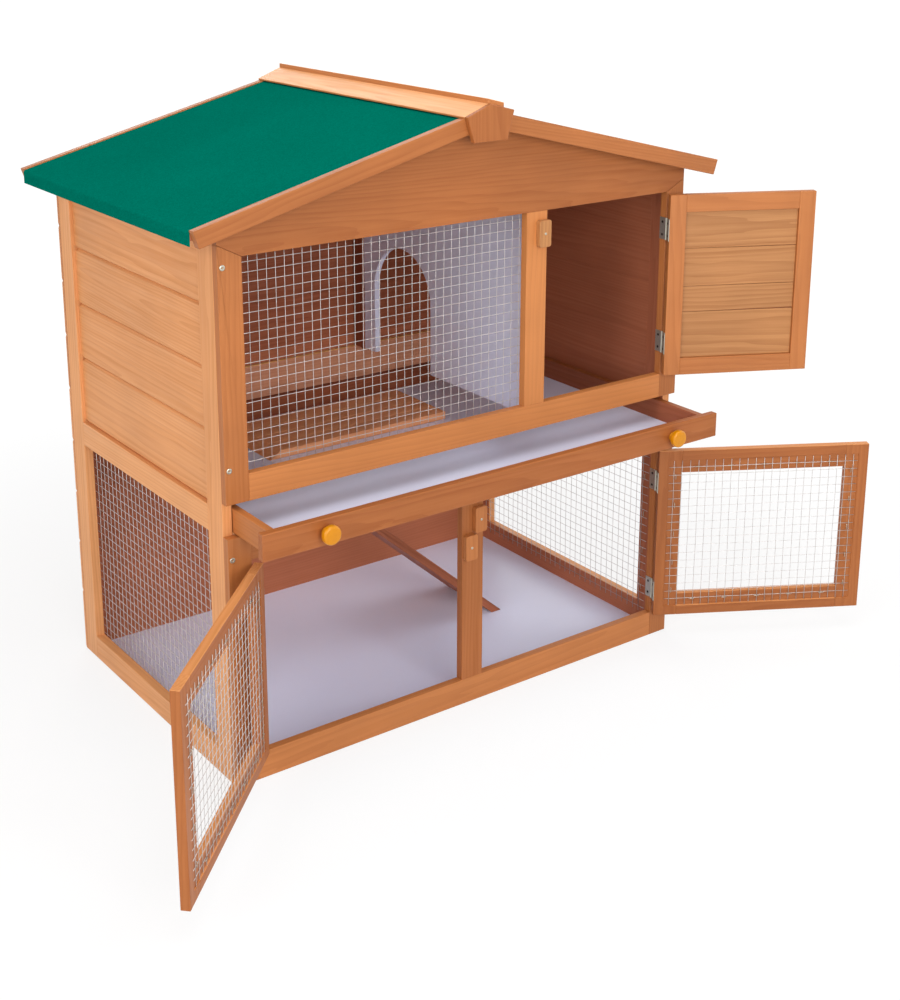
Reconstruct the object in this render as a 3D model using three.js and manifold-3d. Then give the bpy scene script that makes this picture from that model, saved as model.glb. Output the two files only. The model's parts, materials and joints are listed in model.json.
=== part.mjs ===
// Two-storey rabbit hutch: a wooden cabinet under a felted gable roof. It has a wire-fronted
// mesh room, a sleeping room behind a hinged door, a pull-out tray that is also the upper
// floor, a ramp down through a hatch in that tray, and a run below behind two mesh doors.
//
// Millimetres, +Z up, front towards -Y. Everything is laid out from the cabinet's left front
// bottom corner, and the whole group is then moved so that the origin lies on the ground at
// the middle of the cabinet. The doors stand open and the tray is partly pulled out.

import * as THREE from 'three';
import { mergeVertices } from 'three/addons/utils/BufferGeometryUtils.js';
import Module from 'manifold-3d';

const wasm = await Module();
wasm.setup();

// ---------------------------------------------------------------- driving dimensions

// Fits
const GAP = 0.3; // between pieces cut to a slope, or carried on a turned door
const GRID = 1 / 128; // vertices are rounded to this, so that faces that meet match exactly

// Cabinet
const BODY_WIDTH = 900;
const BODY_DEPTH = 564;
const FRONT_THICKNESS = 14; // front frame members and doors
const SIDE_THICKNESS = 16;
const BACK_THICKNESS = 8;
const OUTER_STILE = 39;

// Front, from the ground up
const LOWER_BOTTOM_RAIL = 45;
const LOWER_OPENING = 323;
const LOWER_TOP_RAIL = 41;
const TRAY_SLOT = 52.5;
const UPPER_BOTTOM_RAIL = 42.5;
const UPPER_OPENING = 324.6;
const GABLE_END = 46.9; // height of the gable board above the upper openings, at the eaves
const GABLE_MITRE = 20.4; // rise of the mitre between the gable board and the stiles
const LOWER_MIDDLE_STILE = 43;
const WINDOW_WIDTH = 515.4;
const UPPER_MIDDLE_STILE = 41.9;

// Side and back panels
const FRONT_POST = 46;
const REAR_POST = 43;
const SIDE_BOTTOM_RAIL = 42;
const SIDE_MIDDLE_RAIL = 42;
const SIDE_RAIL_DROP = 5; // the middle rail starts this far below the top of the lower front
const BOARD_RECESS = 6;
const BOARD_WIDTH = 95.3;
const FIRST_BOARD = 114;
const GROOVE_WIDTH = 3;
const GROOVE_DEPTH = 1.5;
const BACK_RAIL_HEIGHT = 70;
const BACK_RAIL_THICKNESS = 8;

// Wire mesh
const WIRE = 1.2;
const WIRE_PITCH = 75; // every fifth wire of the real mesh
const MESH_SETBACK = 0.2; // from the inner face of the panel that holds it

// Roof
const ROOF_SLOPE = 0.251;
const SIDE_OVERHANG = 49.5;
const FRONT_OVERHANG = 30;
const REAR_OVERHANG = 24;
const DECK_THICKNESS = 12;
const FELT_THICKNESS = 1.5;
const FELT_SUNK = 2; // below the top edge of the barge boards
const FELT_LIP = 21; // turned down over the eaves
const BARGE_DEPTH = 26.6;
const BARGE_THICKNESS = 14;
const BARGE_END_CUT = 8.5; // how far the end cut leans in at the bottom
const RIDGE_HALF_WIDTH = 44.5;
const RIDGE_CROWN = 8.6; // height of both ridge boards above the barge boards at the ridge
const LEFT_RIDGE_EDGE = 2.8;
const RIGHT_RIDGE_EDGE = 7.8;
const RIDGE_STRIP_WIDTH = 31; // raised strip along the top of the right ridge board
const RIDGE_STRIP_HEIGHT = 7.5;
const KEYSTONE_THICKNESS = 9;
const KEYSTONE_FOOT = 63.4; // width along the bottom
const KEYSTONE_DROP = 48; // from the top of the barge boards to the bottom

// Doors
const DOOR_CLEARANCE = 2.5; // above, below and on the latch side
const LOWER_DOOR_FRAME = 42;
const REBATE_MARGIN = 18;
const REBATE_DEPTH = 1.8;
const REBATE_CLEARANCE = 1; // around the mesh panel that lies in the rebate
const UPPER_DOOR_STILE = 29;
const UPPER_DOOR_RAIL = 30;
const DOOR_BOARD_THICKNESS = 6;
const DOOR_BOARD_RECESS = 5; // from the door's inner face
const DOOR_BOARD_JOINTS = [82.5, 128.2, 195]; // above the upper edge of the bottom rail
const UPPER_DOOR_ANGLE = 153.1; // how far each door stands open, in degrees
const LEFT_DOOR_ANGLE = 135.3;
const RIGHT_DOOR_ANGLE = 150.1;

// Butt hinges
const HINGE_HEIGHT = 38;
const LEAF_THICKNESS = 0.95;
const LEAF_MARGIN = 0.4; // between a leaf and either face of the door
const KNUCKLE_RADIUS = 2;
const KNUCKLE_SLIT = 0.3; // between neighbouring knuckles
const PIN_RADIUS = 0.9;
const PIN_CLEARANCE = 0.2;
const PIN_STANDOFF = 1.9; // from the front face to the pin's axis
const UPPER_HINGE_LOW = 60; // from the edges of the door opening to the middle of each hinge
const UPPER_HINGE_HIGH = 63.6;
const LOWER_HINGE_LOW = 50;
const LOWER_HINGE_HIGH = 63;

// Turn buttons
const BUTTON_WIDTH = 23.8;
const BUTTON_HEIGHT = 44;
const BUTTON_THICKNESS = 9;
const BUTTON_CORNER = 4;
const BUTTON_CLEAR = 1; // from an upright button to the door it holds
const LEFT_BUTTON_CLEAR = 4;
const UPPER_BUTTON_DROP = 36.1; // from the top of the opening to the pivot
const LOWER_BUTTON_DROP = 37;
const BUTTON_SPACING = 2; // between the two lower buttons, one above the other

// Pull-out tray
const TRAY_PULLED_OUT = 104;
const TRAY_FRONT_THICKNESS = 13.4;
const TRAY_FRONT_HEIGHT = 42;
const TRAY_FRONT_LIFT = 2; // above the lower front
const TRAY_LIFT = 2.5;
const TRAY_SIDE = 12;
const TRAY_SIDE_HEIGHT = 38.5;
const TRAY_SIDE_CLEARANCE = 1;
const TRAY_REAR_CLEARANCE = 2;
const TRAY_BASE = 3;
const KNOB_RADIUS = 15;
const KNOB_LENGTH = 20;
const KNOB_STEM_RADIUS = 8;
const KNOB_STEM_LENGTH = 6;
const KNOB_INSET = 105; // from the ends of the tray front
const RUNNER_WIDTH = 18;
const RUNNER_HEIGHT = 12;

// Hatch, lid and ramp
const HATCH_LEFT = 222;
const HATCH_LENGTH = 328;
const HATCH_DEPTH = 138;
const HATCH_REAR_MARGIN = 46; // to the tray's rear board
const LID_THICKNESS = 14;
const LID_END_LAP = 16;
const LID_FRONT_LAP = 12;
const LID_REAR_LAP = 10;
const LID_BEVEL = 22;
const LID_PIN_OFFSET = 2; // from the lid's lower rear edge to its hinge axis, back and up
const RAMP_SLOPE = 0.88;
const RAMP_THICKNESS = 14;
const RAMP_WIDTH = 140;
const RAMP_HEAD_INSET = 17.1; // from the hatch's left end to the top of the walking face
const RAMP_HEAD_GAP = 3.5; // below the tray
const RAMP_FRONT_LAP = 10;
const RAMP_PIVOT_SETBACK = 7.1; // from the top of the walking face to the hinge axis
const RAMP_PIVOT_DROP = 8;

// Inside
const FLOOR_THICKNESS = 3;
const PARTITION_THICKNESS = 10;
const ARCH_RADIUS = 90;
const ARCH_MIDDLE = 166; // from the cabinet's back to the middle of the doorway
const ARCH_SPRING = 128; // from the partition's foot to where the arch begins

// ---------------------------------------------------------------- derived levels

const middleX = BODY_WIDTH / 2;
const innerLeft = SIDE_THICKNESS;
const innerRight = BODY_WIDTH - SIDE_THICKNESS;
const stileRight = BODY_WIDTH - OUTER_STILE;
const panelRear = BODY_DEPTH - BACK_THICKNESS;
const backRailFront = panelRear - BACK_RAIL_THICKNESS;

const lowerOpeningTop = LOWER_BOTTOM_RAIL + LOWER_OPENING;
const lowerTop = lowerOpeningTop + LOWER_TOP_RAIL;
const upperBottom = lowerTop + TRAY_SLOT;
const upperOpeningBottom = upperBottom + UPPER_BOTTOM_RAIL;
const upperOpeningTop = upperOpeningBottom + UPPER_OPENING;
const wallTop = upperOpeningTop + GABLE_END;
const sideRailBottom = lowerTop - SIDE_RAIL_DROP;
const sideRailTop = sideRailBottom + SIDE_MIDDLE_RAIL;
const backRailTop = sideRailBottom + BACK_RAIL_HEIGHT;

const windowRight = OUTER_STILE + WINDOW_WIDTH;
const upperDoorLeft = windowRight + UPPER_MIDDLE_STILE;
const lowerStileLeft = middleX - LOWER_MIDDLE_STILE / 2;
const lowerStileRight = middleX + LOWER_MIDDLE_STILE / 2;

const hingeGap = 2 * LEAF_THICKNESS + 2 * GAP; // between a door and the stile that carries it
const pinInset = LEAF_THICKNESS + GAP / 2; // from the stile's edge to the pin

const trayBottom = lowerTop + TRAY_LIFT;
const trayLeft = innerLeft + TRAY_SIDE_CLEARANCE;
const trayRight = innerRight - TRAY_SIDE_CLEARANCE;
const trayRear = backRailFront - TRAY_REAR_CLEARANCE; // with the tray pushed in
const hatchRear = trayRear - TRAY_SIDE - HATCH_REAR_MARGIN;
const hatchFront = hatchRear - HATCH_DEPTH;

const slopeLength = Math.hypot(1, ROOF_SLOPE);
const feltOffset = DECK_THICKNESS + GAP;
const bargeOffset = feltOffset + FELT_THICKNESS + FELT_SUNK;
const roofFront = -FRONT_OVERHANG;
const roofRear = BODY_DEPTH + REAR_OVERHANG;
const deckSpan = [roofFront + BARGE_THICKNESS, roofRear - BARGE_THICKNESS];

// Height of the line that runs parallel to the roof, `offset` above the deck's underside.
function roofLine(x, offset) {
  const run = middleX - Math.abs(x - middleX);
  return wallTop + GAP + ROOF_SLOPE * run + offset * slopeLength;
}

// ---------------------------------------------------------------- materials

function finish(color, roughness, metalness = 0) {
  return () => new THREE.MeshStandardMaterial({ color, roughness, metalness });
}

const stainedFir = finish('#c47b45', 0.55);
const shadedFir = finish('#a8602f', 0.6);
const whiteBoard = finish('#d3d3e4', 0.5);
const greenFelt = finish('#0f7a63', 0.95);
const zincWire = finish('#8f8f88', 0.4, 0.9);
const zincSteel = finish('#b9b6a8', 0.35, 0.9);
const yellowPaint = finish('#e8b21c', 0.4);

// ---------------------------------------------------------------- solids

// Where an outline's own two axes and its extrusion point.
const PLANES = {
  front: [[1, 0, 0], [0, 0, 1], [0, -1, 0]], // outline in X and Z, extruded along Y
  side: [[0, 1, 0], [0, 0, 1], [1, 0, 0]], // outline in Y and Z, extruded along X
  plan: [[1, 0, 0], [0, 1, 0], [0, 0, 1]], // outline in X and Y, extruded along Z
};

function onGrid(geometry) {
  const { array } = geometry.attributes.position;
  for (let i = 0; i < array.length; i += 1) {
    array[i] = Math.round(array[i] / GRID) * GRID;
  }
  return geometry;
}

// Turns a solid that was drawn in its outline's axes into `plane`, to fill `from` to `to`.
function place(geometry, plane, [from, to]) {
  const axes = PLANES[plane].map((axis) => new THREE.Vector3(...axis));
  geometry.applyMatrix4(new THREE.Matrix4().makeBasis(...axes));
  const shift = { front: [0, to, 0], side: [from, 0, 0], plan: [0, 0, from] }[plane];
  return onGrid(geometry.translate(...shift));
}

function extrude(shape, plane, span, curveSegments = 5) {
  const settings = { depth: span[1] - span[0], bevelEnabled: false, curveSegments };
  return place(new THREE.ExtrudeGeometry(shape, settings), plane, span);
}

function outline(points) {
  return new THREE.Shape(points.map(([u, v]) => new THREE.Vector2(u, v)));
}

function box([x0, x1], [y0, y1], [z0, z1]) {
  const geometry = new THREE.BoxGeometry(x1 - x0, y1 - y0, z1 - z0);
  return geometry.translate((x0 + x1) / 2, (y0 + y1) / 2, (z0 + z1) / 2);
}

function slab(xs, ys, zs) {
  return onGrid(box(xs, ys, zs));
}

function upright(radius, [z0, z1]) {
  const geometry = new THREE.CylinderGeometry(radius, radius, z1 - z0, 12);
  return geometry.rotateX(Math.PI / 2).translate(0, 0, (z0 + z1) / 2);
}

function solidOf(geometry) {
  const bare = geometry.clone();
  bare.deleteAttribute('normal');
  bare.deleteAttribute('uv');
  const merged = mergeVertices(bare, 1e-4);
  const vertProperties = merged.attributes.position.array;
  const triVerts = Uint32Array.from(merged.index.array);
  return new wasm.Manifold(new wasm.Mesh({ numProp: 3, vertProperties, triVerts }));
}

function geometryOf(solid) {
  const mesh = solid.getMesh();
  const geometry = new THREE.BufferGeometry();
  geometry.setAttribute('position', new THREE.BufferAttribute(mesh.vertProperties, 3));
  geometry.setIndex(new THREE.BufferAttribute(mesh.triVerts, 1));
  geometry.computeVertexNormals();
  return geometry;
}

function join(parts) {
  const [first, ...rest] = parts.map(solidOf);
  return geometryOf(rest.reduce((whole, part) => whole.add(part), first));
}

function cut(body, tools) {
  return geometryOf(tools.reduce((left, tool) => left.subtract(solidOf(tool)), solidOf(body)));
}

function overlapOf(body, other) {
  return geometryOf(solidOf(body).intersect(solidOf(other)));
}

// Adds a named piece to a group, with its geometry centred on the mesh's own position.
function piece(parent, name, material, geometry) {
  geometry.computeBoundingBox();
  const centre = geometry.boundingBox.getCenter(new THREE.Vector3());
  geometry.translate(-centre.x, -centre.y, -centre.z);
  const mesh = new THREE.Mesh(geometry, material());
  mesh.name = name;
  mesh.position.copy(centre);
  parent.add(mesh);
}

function groupAt(parent, x, y, z) {
  const group = new THREE.Group();
  group.position.set(x, y, z);
  parent.add(group);
  return group;
}

// Section of a boarded panel from its grooved face to its plain back, with a V groove at
// each joint between boards.
function boardedSection(face, back, [bottom, top], joints) {
  const inward = Math.sign(back - face) * GROOVE_DEPTH;
  const points = [[back, bottom], [face, bottom]];
  for (const z of joints) {
    points.push([face, z - GROOVE_WIDTH / 2], [face + inward, z], [face, z + GROOVE_WIDTH / 2]);
  }
  points.push([face, top], [back, top]);
  return outline(points);
}

// Joints between boards laid from `bottom` up, the lowest board of its own width.
function boardJoints([bottom, top]) {
  const joints = [];
  for (let z = bottom + FIRST_BOARD; z < top - GROOVE_WIDTH; z += BOARD_WIDTH) {
    joints.push(z);
  }
  return joints;
}

// Edges of evenly spaced wires that fill a length from end to end: near, far, near, far...
function wireEdges([start, end]) {
  const count = Math.max(1, Math.round((end - start) / WIRE_PITCH));
  const edges = [];
  for (let wire = 0; wire <= count; wire += 1) {
    const near = start + (wire * (end - start - WIRE)) / count;
    edges.push(near, near + WIRE);
  }
  return edges;
}

// Welded grid of square wires that fills a rectangle of `plane`, as thick as `span`. It is
// made of the cells between the wires' edges: every cell is solid except those that lie
// between two wires both ways.
function wireGrid(plane, us, vs, span) {
  const [edgesU, edgesV] = [wireEdges(us), wireEdges(vs)];
  const positions = [];
  for (const w of [0, span[1] - span[0]]) {
    edgesV.forEach((v) => edgesU.forEach((u) => positions.push(u, v, w)));
  }
  const corner = (i, j, level) => (level * edgesV.length + j) * edgesU.length + i;
  const solid = (i, j) => i >= 0 && j >= 0 && i < edgesU.length - 1 && j < edgesV.length - 1
    && (i % 2 === 0 || j % 2 === 0);
  const indices = [];
  const quad = (a, b, c, d) => indices.push(a, b, c, a, c, d);
  for (let j = 0; j < edgesV.length - 1; j += 1) {
    for (let i = 0; i < edgesU.length - 1; i += 1) {
      if (!solid(i, j)) continue;
      const [low, high] = [0, 1].map((level) => [
        corner(i, j, level), corner(i + 1, j, level),
        corner(i + 1, j + 1, level), corner(i, j + 1, level),
      ]);
      quad(...high);
      quad(low[3], low[2], low[1], low[0]);
      if (!solid(i, j - 1)) quad(low[0], low[1], high[1], high[0]);
      if (!solid(i + 1, j)) quad(low[1], low[2], high[2], high[1]);
      if (!solid(i, j + 1)) quad(low[2], low[3], high[3], high[2]);
      if (!solid(i - 1, j)) quad(low[3], low[0], high[0], high[3]);
    }
  }
  const geometry = new THREE.BufferGeometry();
  geometry.setAttribute('position', new THREE.Float32BufferAttribute(positions, 3));
  geometry.setIndex(indices);
  geometry.computeVertexNormals();
  return place(geometry, plane, span);
}

// ---------------------------------------------------------------- cabinet

function addSidePanel(cabinet, side) {
  const across = (x) => (side === 'left' ? x : BODY_WIDTH - x);
  const span = (a, b) => [across(a), across(b)].sort((m, n) => m - n);
  const inner = [FRONT_THICKNESS + FRONT_POST, panelRear - REAR_POST];
  const opening = [SIDE_BOTTOM_RAIL, sideRailBottom];
  const upper = [sideRailTop, wallTop];

  const frame = outline([
    [FRONT_THICKNESS, 0], [panelRear, 0], [panelRear, wallTop], [inner[1], wallTop],
    [inner[1], sideRailTop], [inner[0], sideRailTop], [inner[0], wallTop], [FRONT_THICKNESS, wallTop],
  ]);
  frame.holes.push(outline([
    [inner[0], opening[0]], [inner[0], opening[1]], [inner[1], opening[1]], [inner[1], opening[0]],
  ]));
  piece(cabinet, `side_${side}_frame`, stainedFir, extrude(frame, 'side', span(0, SIDE_THICKNESS)));

  const faces = [across(BOARD_RECESS), across(SIDE_THICKNESS)];
  const boards = boardedSection(...faces, upper, boardJoints(upper));
  piece(cabinet, `side_${side}_boards`, stainedFir, extrude(boards, 'front', inner));

  const meshInner = SIDE_THICKNESS - MESH_SETBACK;
  const mesh = wireGrid('side', inner, opening, span(meshInner - WIRE, meshInner));
  piece(cabinet, `side_${side}_mesh`, zincWire, mesh);
}

function addBack(cabinet) {
  const height = [0, roofLine(middleX, 0)];
  const section = boardedSection(BODY_DEPTH, panelRear, height, boardJoints(height));
  const boards = extrude(section, 'side', [0, BODY_WIDTH]);
  const gable = outline([
    [-1, -1], [BODY_WIDTH + 1, -1], [BODY_WIDTH + 1, roofLine(BODY_WIDTH + 1, -GAP)],
    [middleX, roofLine(middleX, -GAP)], [-1, roofLine(-1, -GAP)],
  ]);
  const trimmed = overlapOf(boards, extrude(gable, 'front', [panelRear - 1, BODY_DEPTH + 1]));
  piece(cabinet, 'back_boards', shadedFir, trimmed);
  piece(cabinet, 'back_rail', shadedFir,
    slab([innerLeft, innerRight], [backRailFront, panelRear], [sideRailBottom, backRailTop]));
}

function addUpperFront(cabinet) {
  const depth = [0, FRONT_THICKNESS];
  const mitre = [upperOpeningTop - GAP, upperOpeningTop - GAP + GABLE_MITRE];
  const leftStile = outline([
    [0, upperBottom], [OUTER_STILE, upperBottom], [OUTER_STILE, mitre[0]], [0, mitre[1]],
  ]);
  const rightStile = outline([
    [stileRight, upperBottom], [BODY_WIDTH, upperBottom], [BODY_WIDTH, mitre[1]], [stileRight, mitre[0]],
  ]);
  const gable = outline([
    [OUTER_STILE, upperOpeningTop], [stileRight, upperOpeningTop],
    [BODY_WIDTH, upperOpeningTop + GABLE_MITRE], [BODY_WIDTH, roofLine(BODY_WIDTH, -GAP)],
    [middleX, roofLine(middleX, -GAP)], [0, roofLine(0, -GAP)], [0, upperOpeningTop + GABLE_MITRE],
  ]);
  piece(cabinet, 'upper_left_stile', stainedFir, extrude(leftStile, 'front', depth));
  piece(cabinet, 'upper_right_stile', stainedFir, extrude(rightStile, 'front', depth));
  piece(cabinet, 'front_gable', stainedFir, extrude(gable, 'front', depth));
  piece(cabinet, 'upper_bottom_rail', stainedFir,
    slab([OUTER_STILE, stileRight], depth, [upperBottom, upperOpeningBottom]));
  piece(cabinet, 'upper_middle_stile', stainedFir,
    slab([windowRight, upperDoorLeft], depth, [upperOpeningBottom, upperOpeningTop]));

  const meshInner = FRONT_THICKNESS - MESH_SETBACK;
  const opening = [[OUTER_STILE, windowRight], [upperOpeningBottom, upperOpeningTop]];
  piece(cabinet, 'window_mesh', zincWire,
    wireGrid('front', ...opening, [meshInner - WIRE, meshInner]));
}

function addLowerFront(cabinet) {
  const depth = [0, FRONT_THICKNESS];
  piece(cabinet, 'lower_left_stile', stainedFir, slab([0, OUTER_STILE], depth, [0, lowerTop]));
  piece(cabinet, 'lower_right_stile', stainedFir, slab([stileRight, BODY_WIDTH], depth, [0, lowerTop]));
  piece(cabinet, 'lower_bottom_rail', stainedFir,
    slab([OUTER_STILE, stileRight], depth, [0, LOWER_BOTTOM_RAIL]));
  piece(cabinet, 'lower_top_rail', stainedFir,
    slab([OUTER_STILE, stileRight], depth, [lowerOpeningTop, lowerTop]));
  piece(cabinet, 'lower_middle_stile', stainedFir,
    slab([lowerStileLeft, lowerStileRight], depth, [LOWER_BOTTOM_RAIL, lowerOpeningTop]));
}

function addInside(cabinet) {
  piece(cabinet, 'floor_sheet', whiteBoard,
    slab([innerLeft, innerRight], [FRONT_THICKNESS, panelRear], [0, FLOOR_THICKNESS]));

  const doorway = BODY_DEPTH - ARCH_MIDDLE;
  const spring = backRailTop + ARCH_SPRING;
  const top = roofLine(upperDoorLeft, -GAP);
  const wall = new THREE.Shape();
  wall.moveTo(FRONT_THICKNESS, backRailTop);
  wall.lineTo(doorway - ARCH_RADIUS, backRailTop);
  wall.lineTo(doorway - ARCH_RADIUS, spring);
  wall.absarc(doorway, spring, ARCH_RADIUS, Math.PI, 0, true);
  wall.lineTo(doorway + ARCH_RADIUS, backRailTop);
  wall.lineTo(panelRear, backRailTop);
  wall.lineTo(panelRear, top);
  wall.lineTo(FRONT_THICKNESS, top);
  piece(cabinet, 'partition', whiteBoard,
    extrude(wall, 'side', [upperDoorLeft - PARTITION_THICKNESS, upperDoorLeft], 12));

  const depth = [FRONT_THICKNESS, backRailFront];
  const level = [trayBottom - GAP - RUNNER_HEIGHT, trayBottom - GAP];
  piece(cabinet, 'runner_left', shadedFir,
    slab([innerLeft, innerLeft + RUNNER_WIDTH], depth, level));
  piece(cabinet, 'runner_right', shadedFir,
    slab([innerRight - RUNNER_WIDTH, innerRight], depth, level));
}

// ---------------------------------------------------------------- roof

// Band between two lines parallel to the roof, over both slopes, ending at `end` from the
// cabinet's left side and as far from its right one.
function roofBand(end, lower, upper) {
  const ends = [end, BODY_WIDTH - end];
  return [
    [ends[0], roofLine(ends[0], lower)], [middleX, roofLine(middleX, lower)],
    [ends[1], roofLine(ends[1], lower)], [ends[1], roofLine(ends[1], upper)],
    [middleX, roofLine(middleX, upper)], [ends[0], roofLine(ends[0], upper)],
  ];
}

function addDeckAndFelt(cabinet) {
  const eave = -SIDE_OVERHANG;
  const lipInner = eave + FELT_THICKNESS;
  const deck = roofBand(lipInner + GAP, 0, DECK_THICKNESS);
  piece(cabinet, 'roof_deck', shadedFir, extrude(outline(deck), 'front', deckSpan));

  const feltTop = feltOffset + FELT_THICKNESS;
  const lipBottom = roofLine(eave, feltTop) - FELT_LIP;
  const under = roofBand(lipInner, feltOffset, feltTop).slice(0, 3);
  const over = roofBand(eave, feltOffset, feltTop).slice(3);
  const felt = outline([
    [eave, lipBottom], [lipInner, lipBottom], ...under,
    [BODY_WIDTH - lipInner, lipBottom], [BODY_WIDTH - eave, lipBottom], ...over,
  ]);
  piece(cabinet, 'roof_felt', greenFelt, extrude(felt, 'front', deckSpan));
}

function addBargeBoards(cabinet) {
  const eave = -SIDE_OVERHANG;
  const under = bargeOffset - BARGE_DEPTH;
  const foot = eave + BARGE_END_CUT;
  const left = [
    [foot, roofLine(foot, under)], [middleX, roofLine(middleX, under)],
    [middleX, roofLine(middleX, bargeOffset)], [eave, roofLine(eave, bargeOffset)],
  ];
  const right = left.map(([x, z]) => [BODY_WIDTH - x, z]).reverse();
  const spans = { front: [roofFront, deckSpan[0]], rear: [deckSpan[1], roofRear] };
  for (const [end, span] of Object.entries(spans)) {
    piece(cabinet, `barge_${end}_left`, stainedFir, extrude(outline(left), 'front', span));
    piece(cabinet, `barge_${end}_right`, stainedFir, extrude(outline(right), 'front', span));
  }
}

function addRidge(cabinet) {
  const base = (x) => roofLine(x, bargeOffset + GAP);
  const crown = base(middleX) + RIDGE_CROWN;
  const leftX = middleX - RIDGE_HALF_WIDTH;
  const rightX = middleX + RIDGE_HALF_WIDTH;
  const shoulders = { left: base(leftX) + LEFT_RIDGE_EDGE, right: base(rightX) + RIGHT_RIDGE_EDGE };
  const span = [roofFront, roofRear];

  const left = outline([
    [leftX, base(leftX)], [middleX, base(middleX)], [middleX, crown], [leftX, shoulders.left],
  ]);
  piece(cabinet, 'ridge_board_left', stainedFir, extrude(left, 'front', span));

  const stripX = middleX + RIDGE_STRIP_WIDTH;
  const fall = (crown - shoulders.right) * (RIDGE_STRIP_WIDTH / RIDGE_HALF_WIDTH);
  const right = outline([
    [middleX, base(middleX)], [rightX, base(rightX)], [rightX, shoulders.right],
    [stripX, crown - fall], [stripX, crown - fall + RIDGE_STRIP_HEIGHT],
    [middleX, crown + RIDGE_STRIP_HEIGHT],
  ]);
  piece(cabinet, 'ridge_board_right', stainedFir, extrude(right, 'front', span));

  const foot = roofLine(middleX, bargeOffset) - KEYSTONE_DROP;
  const keystone = outline([
    [middleX - KEYSTONE_FOOT / 2, foot], [middleX + KEYSTONE_FOOT / 2, foot],
    [rightX, shoulders.right], [middleX, crown], [leftX, shoulders.left],
  ]);
  piece(cabinet, 'ridge_block', stainedFir,
    extrude(keystone, 'front', [roofFront - KEYSTONE_THICKNESS, roofFront]));
}

// ---------------------------------------------------------------- doors

// Heights of a hinge's three knuckles. The outer two belong to the fixed leaf.
function knuckleSpans() {
  const third = HINGE_HEIGHT / 3;
  const edge = third / 2;
  const slit = KNUCKLE_SLIT / 2;
  return {
    fixed: [[-HINGE_HEIGHT / 2, -edge - slit], [edge + slit, HINGE_HEIGHT / 2]],
    moving: [[-edge + slit, edge - slit]],
  };
}

// One leaf of a butt hinge about its pin. `toward` is +1 or -1, the side of the pin that the
// leaf lies on along X.
function hingeLeaf(kind, toward) {
  const sides = [toward * (GAP / 2), toward * (GAP / 2 + LEAF_THICKNESS)].sort((a, b) => a - b);
  const leafStart = PIN_STANDOFF + LEAF_MARGIN;
  const leafEnd = PIN_STANDOFF + FRONT_THICKNESS - LEAF_MARGIN;
  const height = [-HINGE_HEIGHT / 2, HINGE_HEIGHT / 2];
  const parts = [box(sides, [leafStart, leafEnd], height)];
  for (const span of knuckleSpans()[kind]) {
    parts.push(upright(KNUCKLE_RADIUS, span), box(sides, [0, leafEnd], span));
  }
  if (kind === 'fixed') {
    return join([...parts, upright(PIN_RADIUS, height)]);
  }
  return cut(join(parts), [upright(PIN_RADIUS + PIN_CLEARANCE, height)]);
}

// Hangs a door by its hinges and returns what its makers need: the turned group and a
// function that gives the X span between two distances from the door's hinge edge.
function hangDoor(cabinet, { name, hinge, hingeHeights, angle }) {
  const toward = hinge === 'left' ? 1 : -1; // the way the closed door reaches from its pin
  const pinX = hinge === 'left' ? OUTER_STILE + pinInset : stileRight - pinInset;
  const fixed = groupAt(cabinet, pinX, -PIN_STANDOFF, 0);
  const swing = groupAt(cabinet, pinX, -PIN_STANDOFF, 0);
  swing.rotation.z = THREE.MathUtils.degToRad(-toward * angle);
  for (const [place, height] of Object.entries(hingeHeights)) {
    const onStile = groupAt(fixed, 0, 0, height);
    const onDoor = groupAt(swing, 0, 0, height);
    piece(onStile, `${name}_${place}_hinge_fixed`, zincSteel, hingeLeaf('fixed', -toward));
    piece(onDoor, `${name}_${place}_hinge_moving`, zincSteel, hingeLeaf('moving', toward));
  }
  const edge = hingeGap - pinInset;
  const span = (a, b) => [toward * (edge + a), toward * (edge + b)].sort((m, n) => m - n);
  return { swing, span };
}

function addMeshDoor(cabinet, hinge, angle) {
  const name = `${hinge}_door`;
  const width = (hinge === 'left' ? lowerStileLeft - OUTER_STILE : stileRight - lowerStileRight)
    - hingeGap - DOOR_CLEARANCE;
  const [bottom, top] = [LOWER_BOTTOM_RAIL + DOOR_CLEARANCE, lowerOpeningTop - DOOR_CLEARANCE];
  const hingeHeights = {
    lower: LOWER_BOTTOM_RAIL + LOWER_HINGE_LOW,
    upper: lowerOpeningTop - LOWER_HINGE_HIGH,
  };
  const { swing, span } = hangDoor(cabinet, { name, hinge, hingeHeights, angle });

  const faces = [PIN_STANDOFF, PIN_STANDOFF + FRONT_THICKNESS];
  const rebateFloor = faces[1] - REBATE_DEPTH;
  const ring = (margin, depth) => slab(
    span(margin, width - margin), depth, [bottom + margin, top - margin],
  );
  const frame = cut(ring(0, faces), [
    ring(LOWER_DOOR_FRAME, [faces[0] - 1, faces[1] + 1]),
    ring(REBATE_MARGIN, [rebateFloor, faces[1] + 1]),
  ]);
  piece(swing, `${name}_frame`, stainedFir, frame);

  const margin = REBATE_MARGIN + REBATE_CLEARANCE;
  const sides = [span(margin, width - margin), [bottom + margin, top - margin]];
  piece(swing, `${name}_mesh`, zincWire,
    wireGrid('front', ...sides, [rebateFloor + GAP, rebateFloor + GAP + WIRE]));
}

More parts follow.
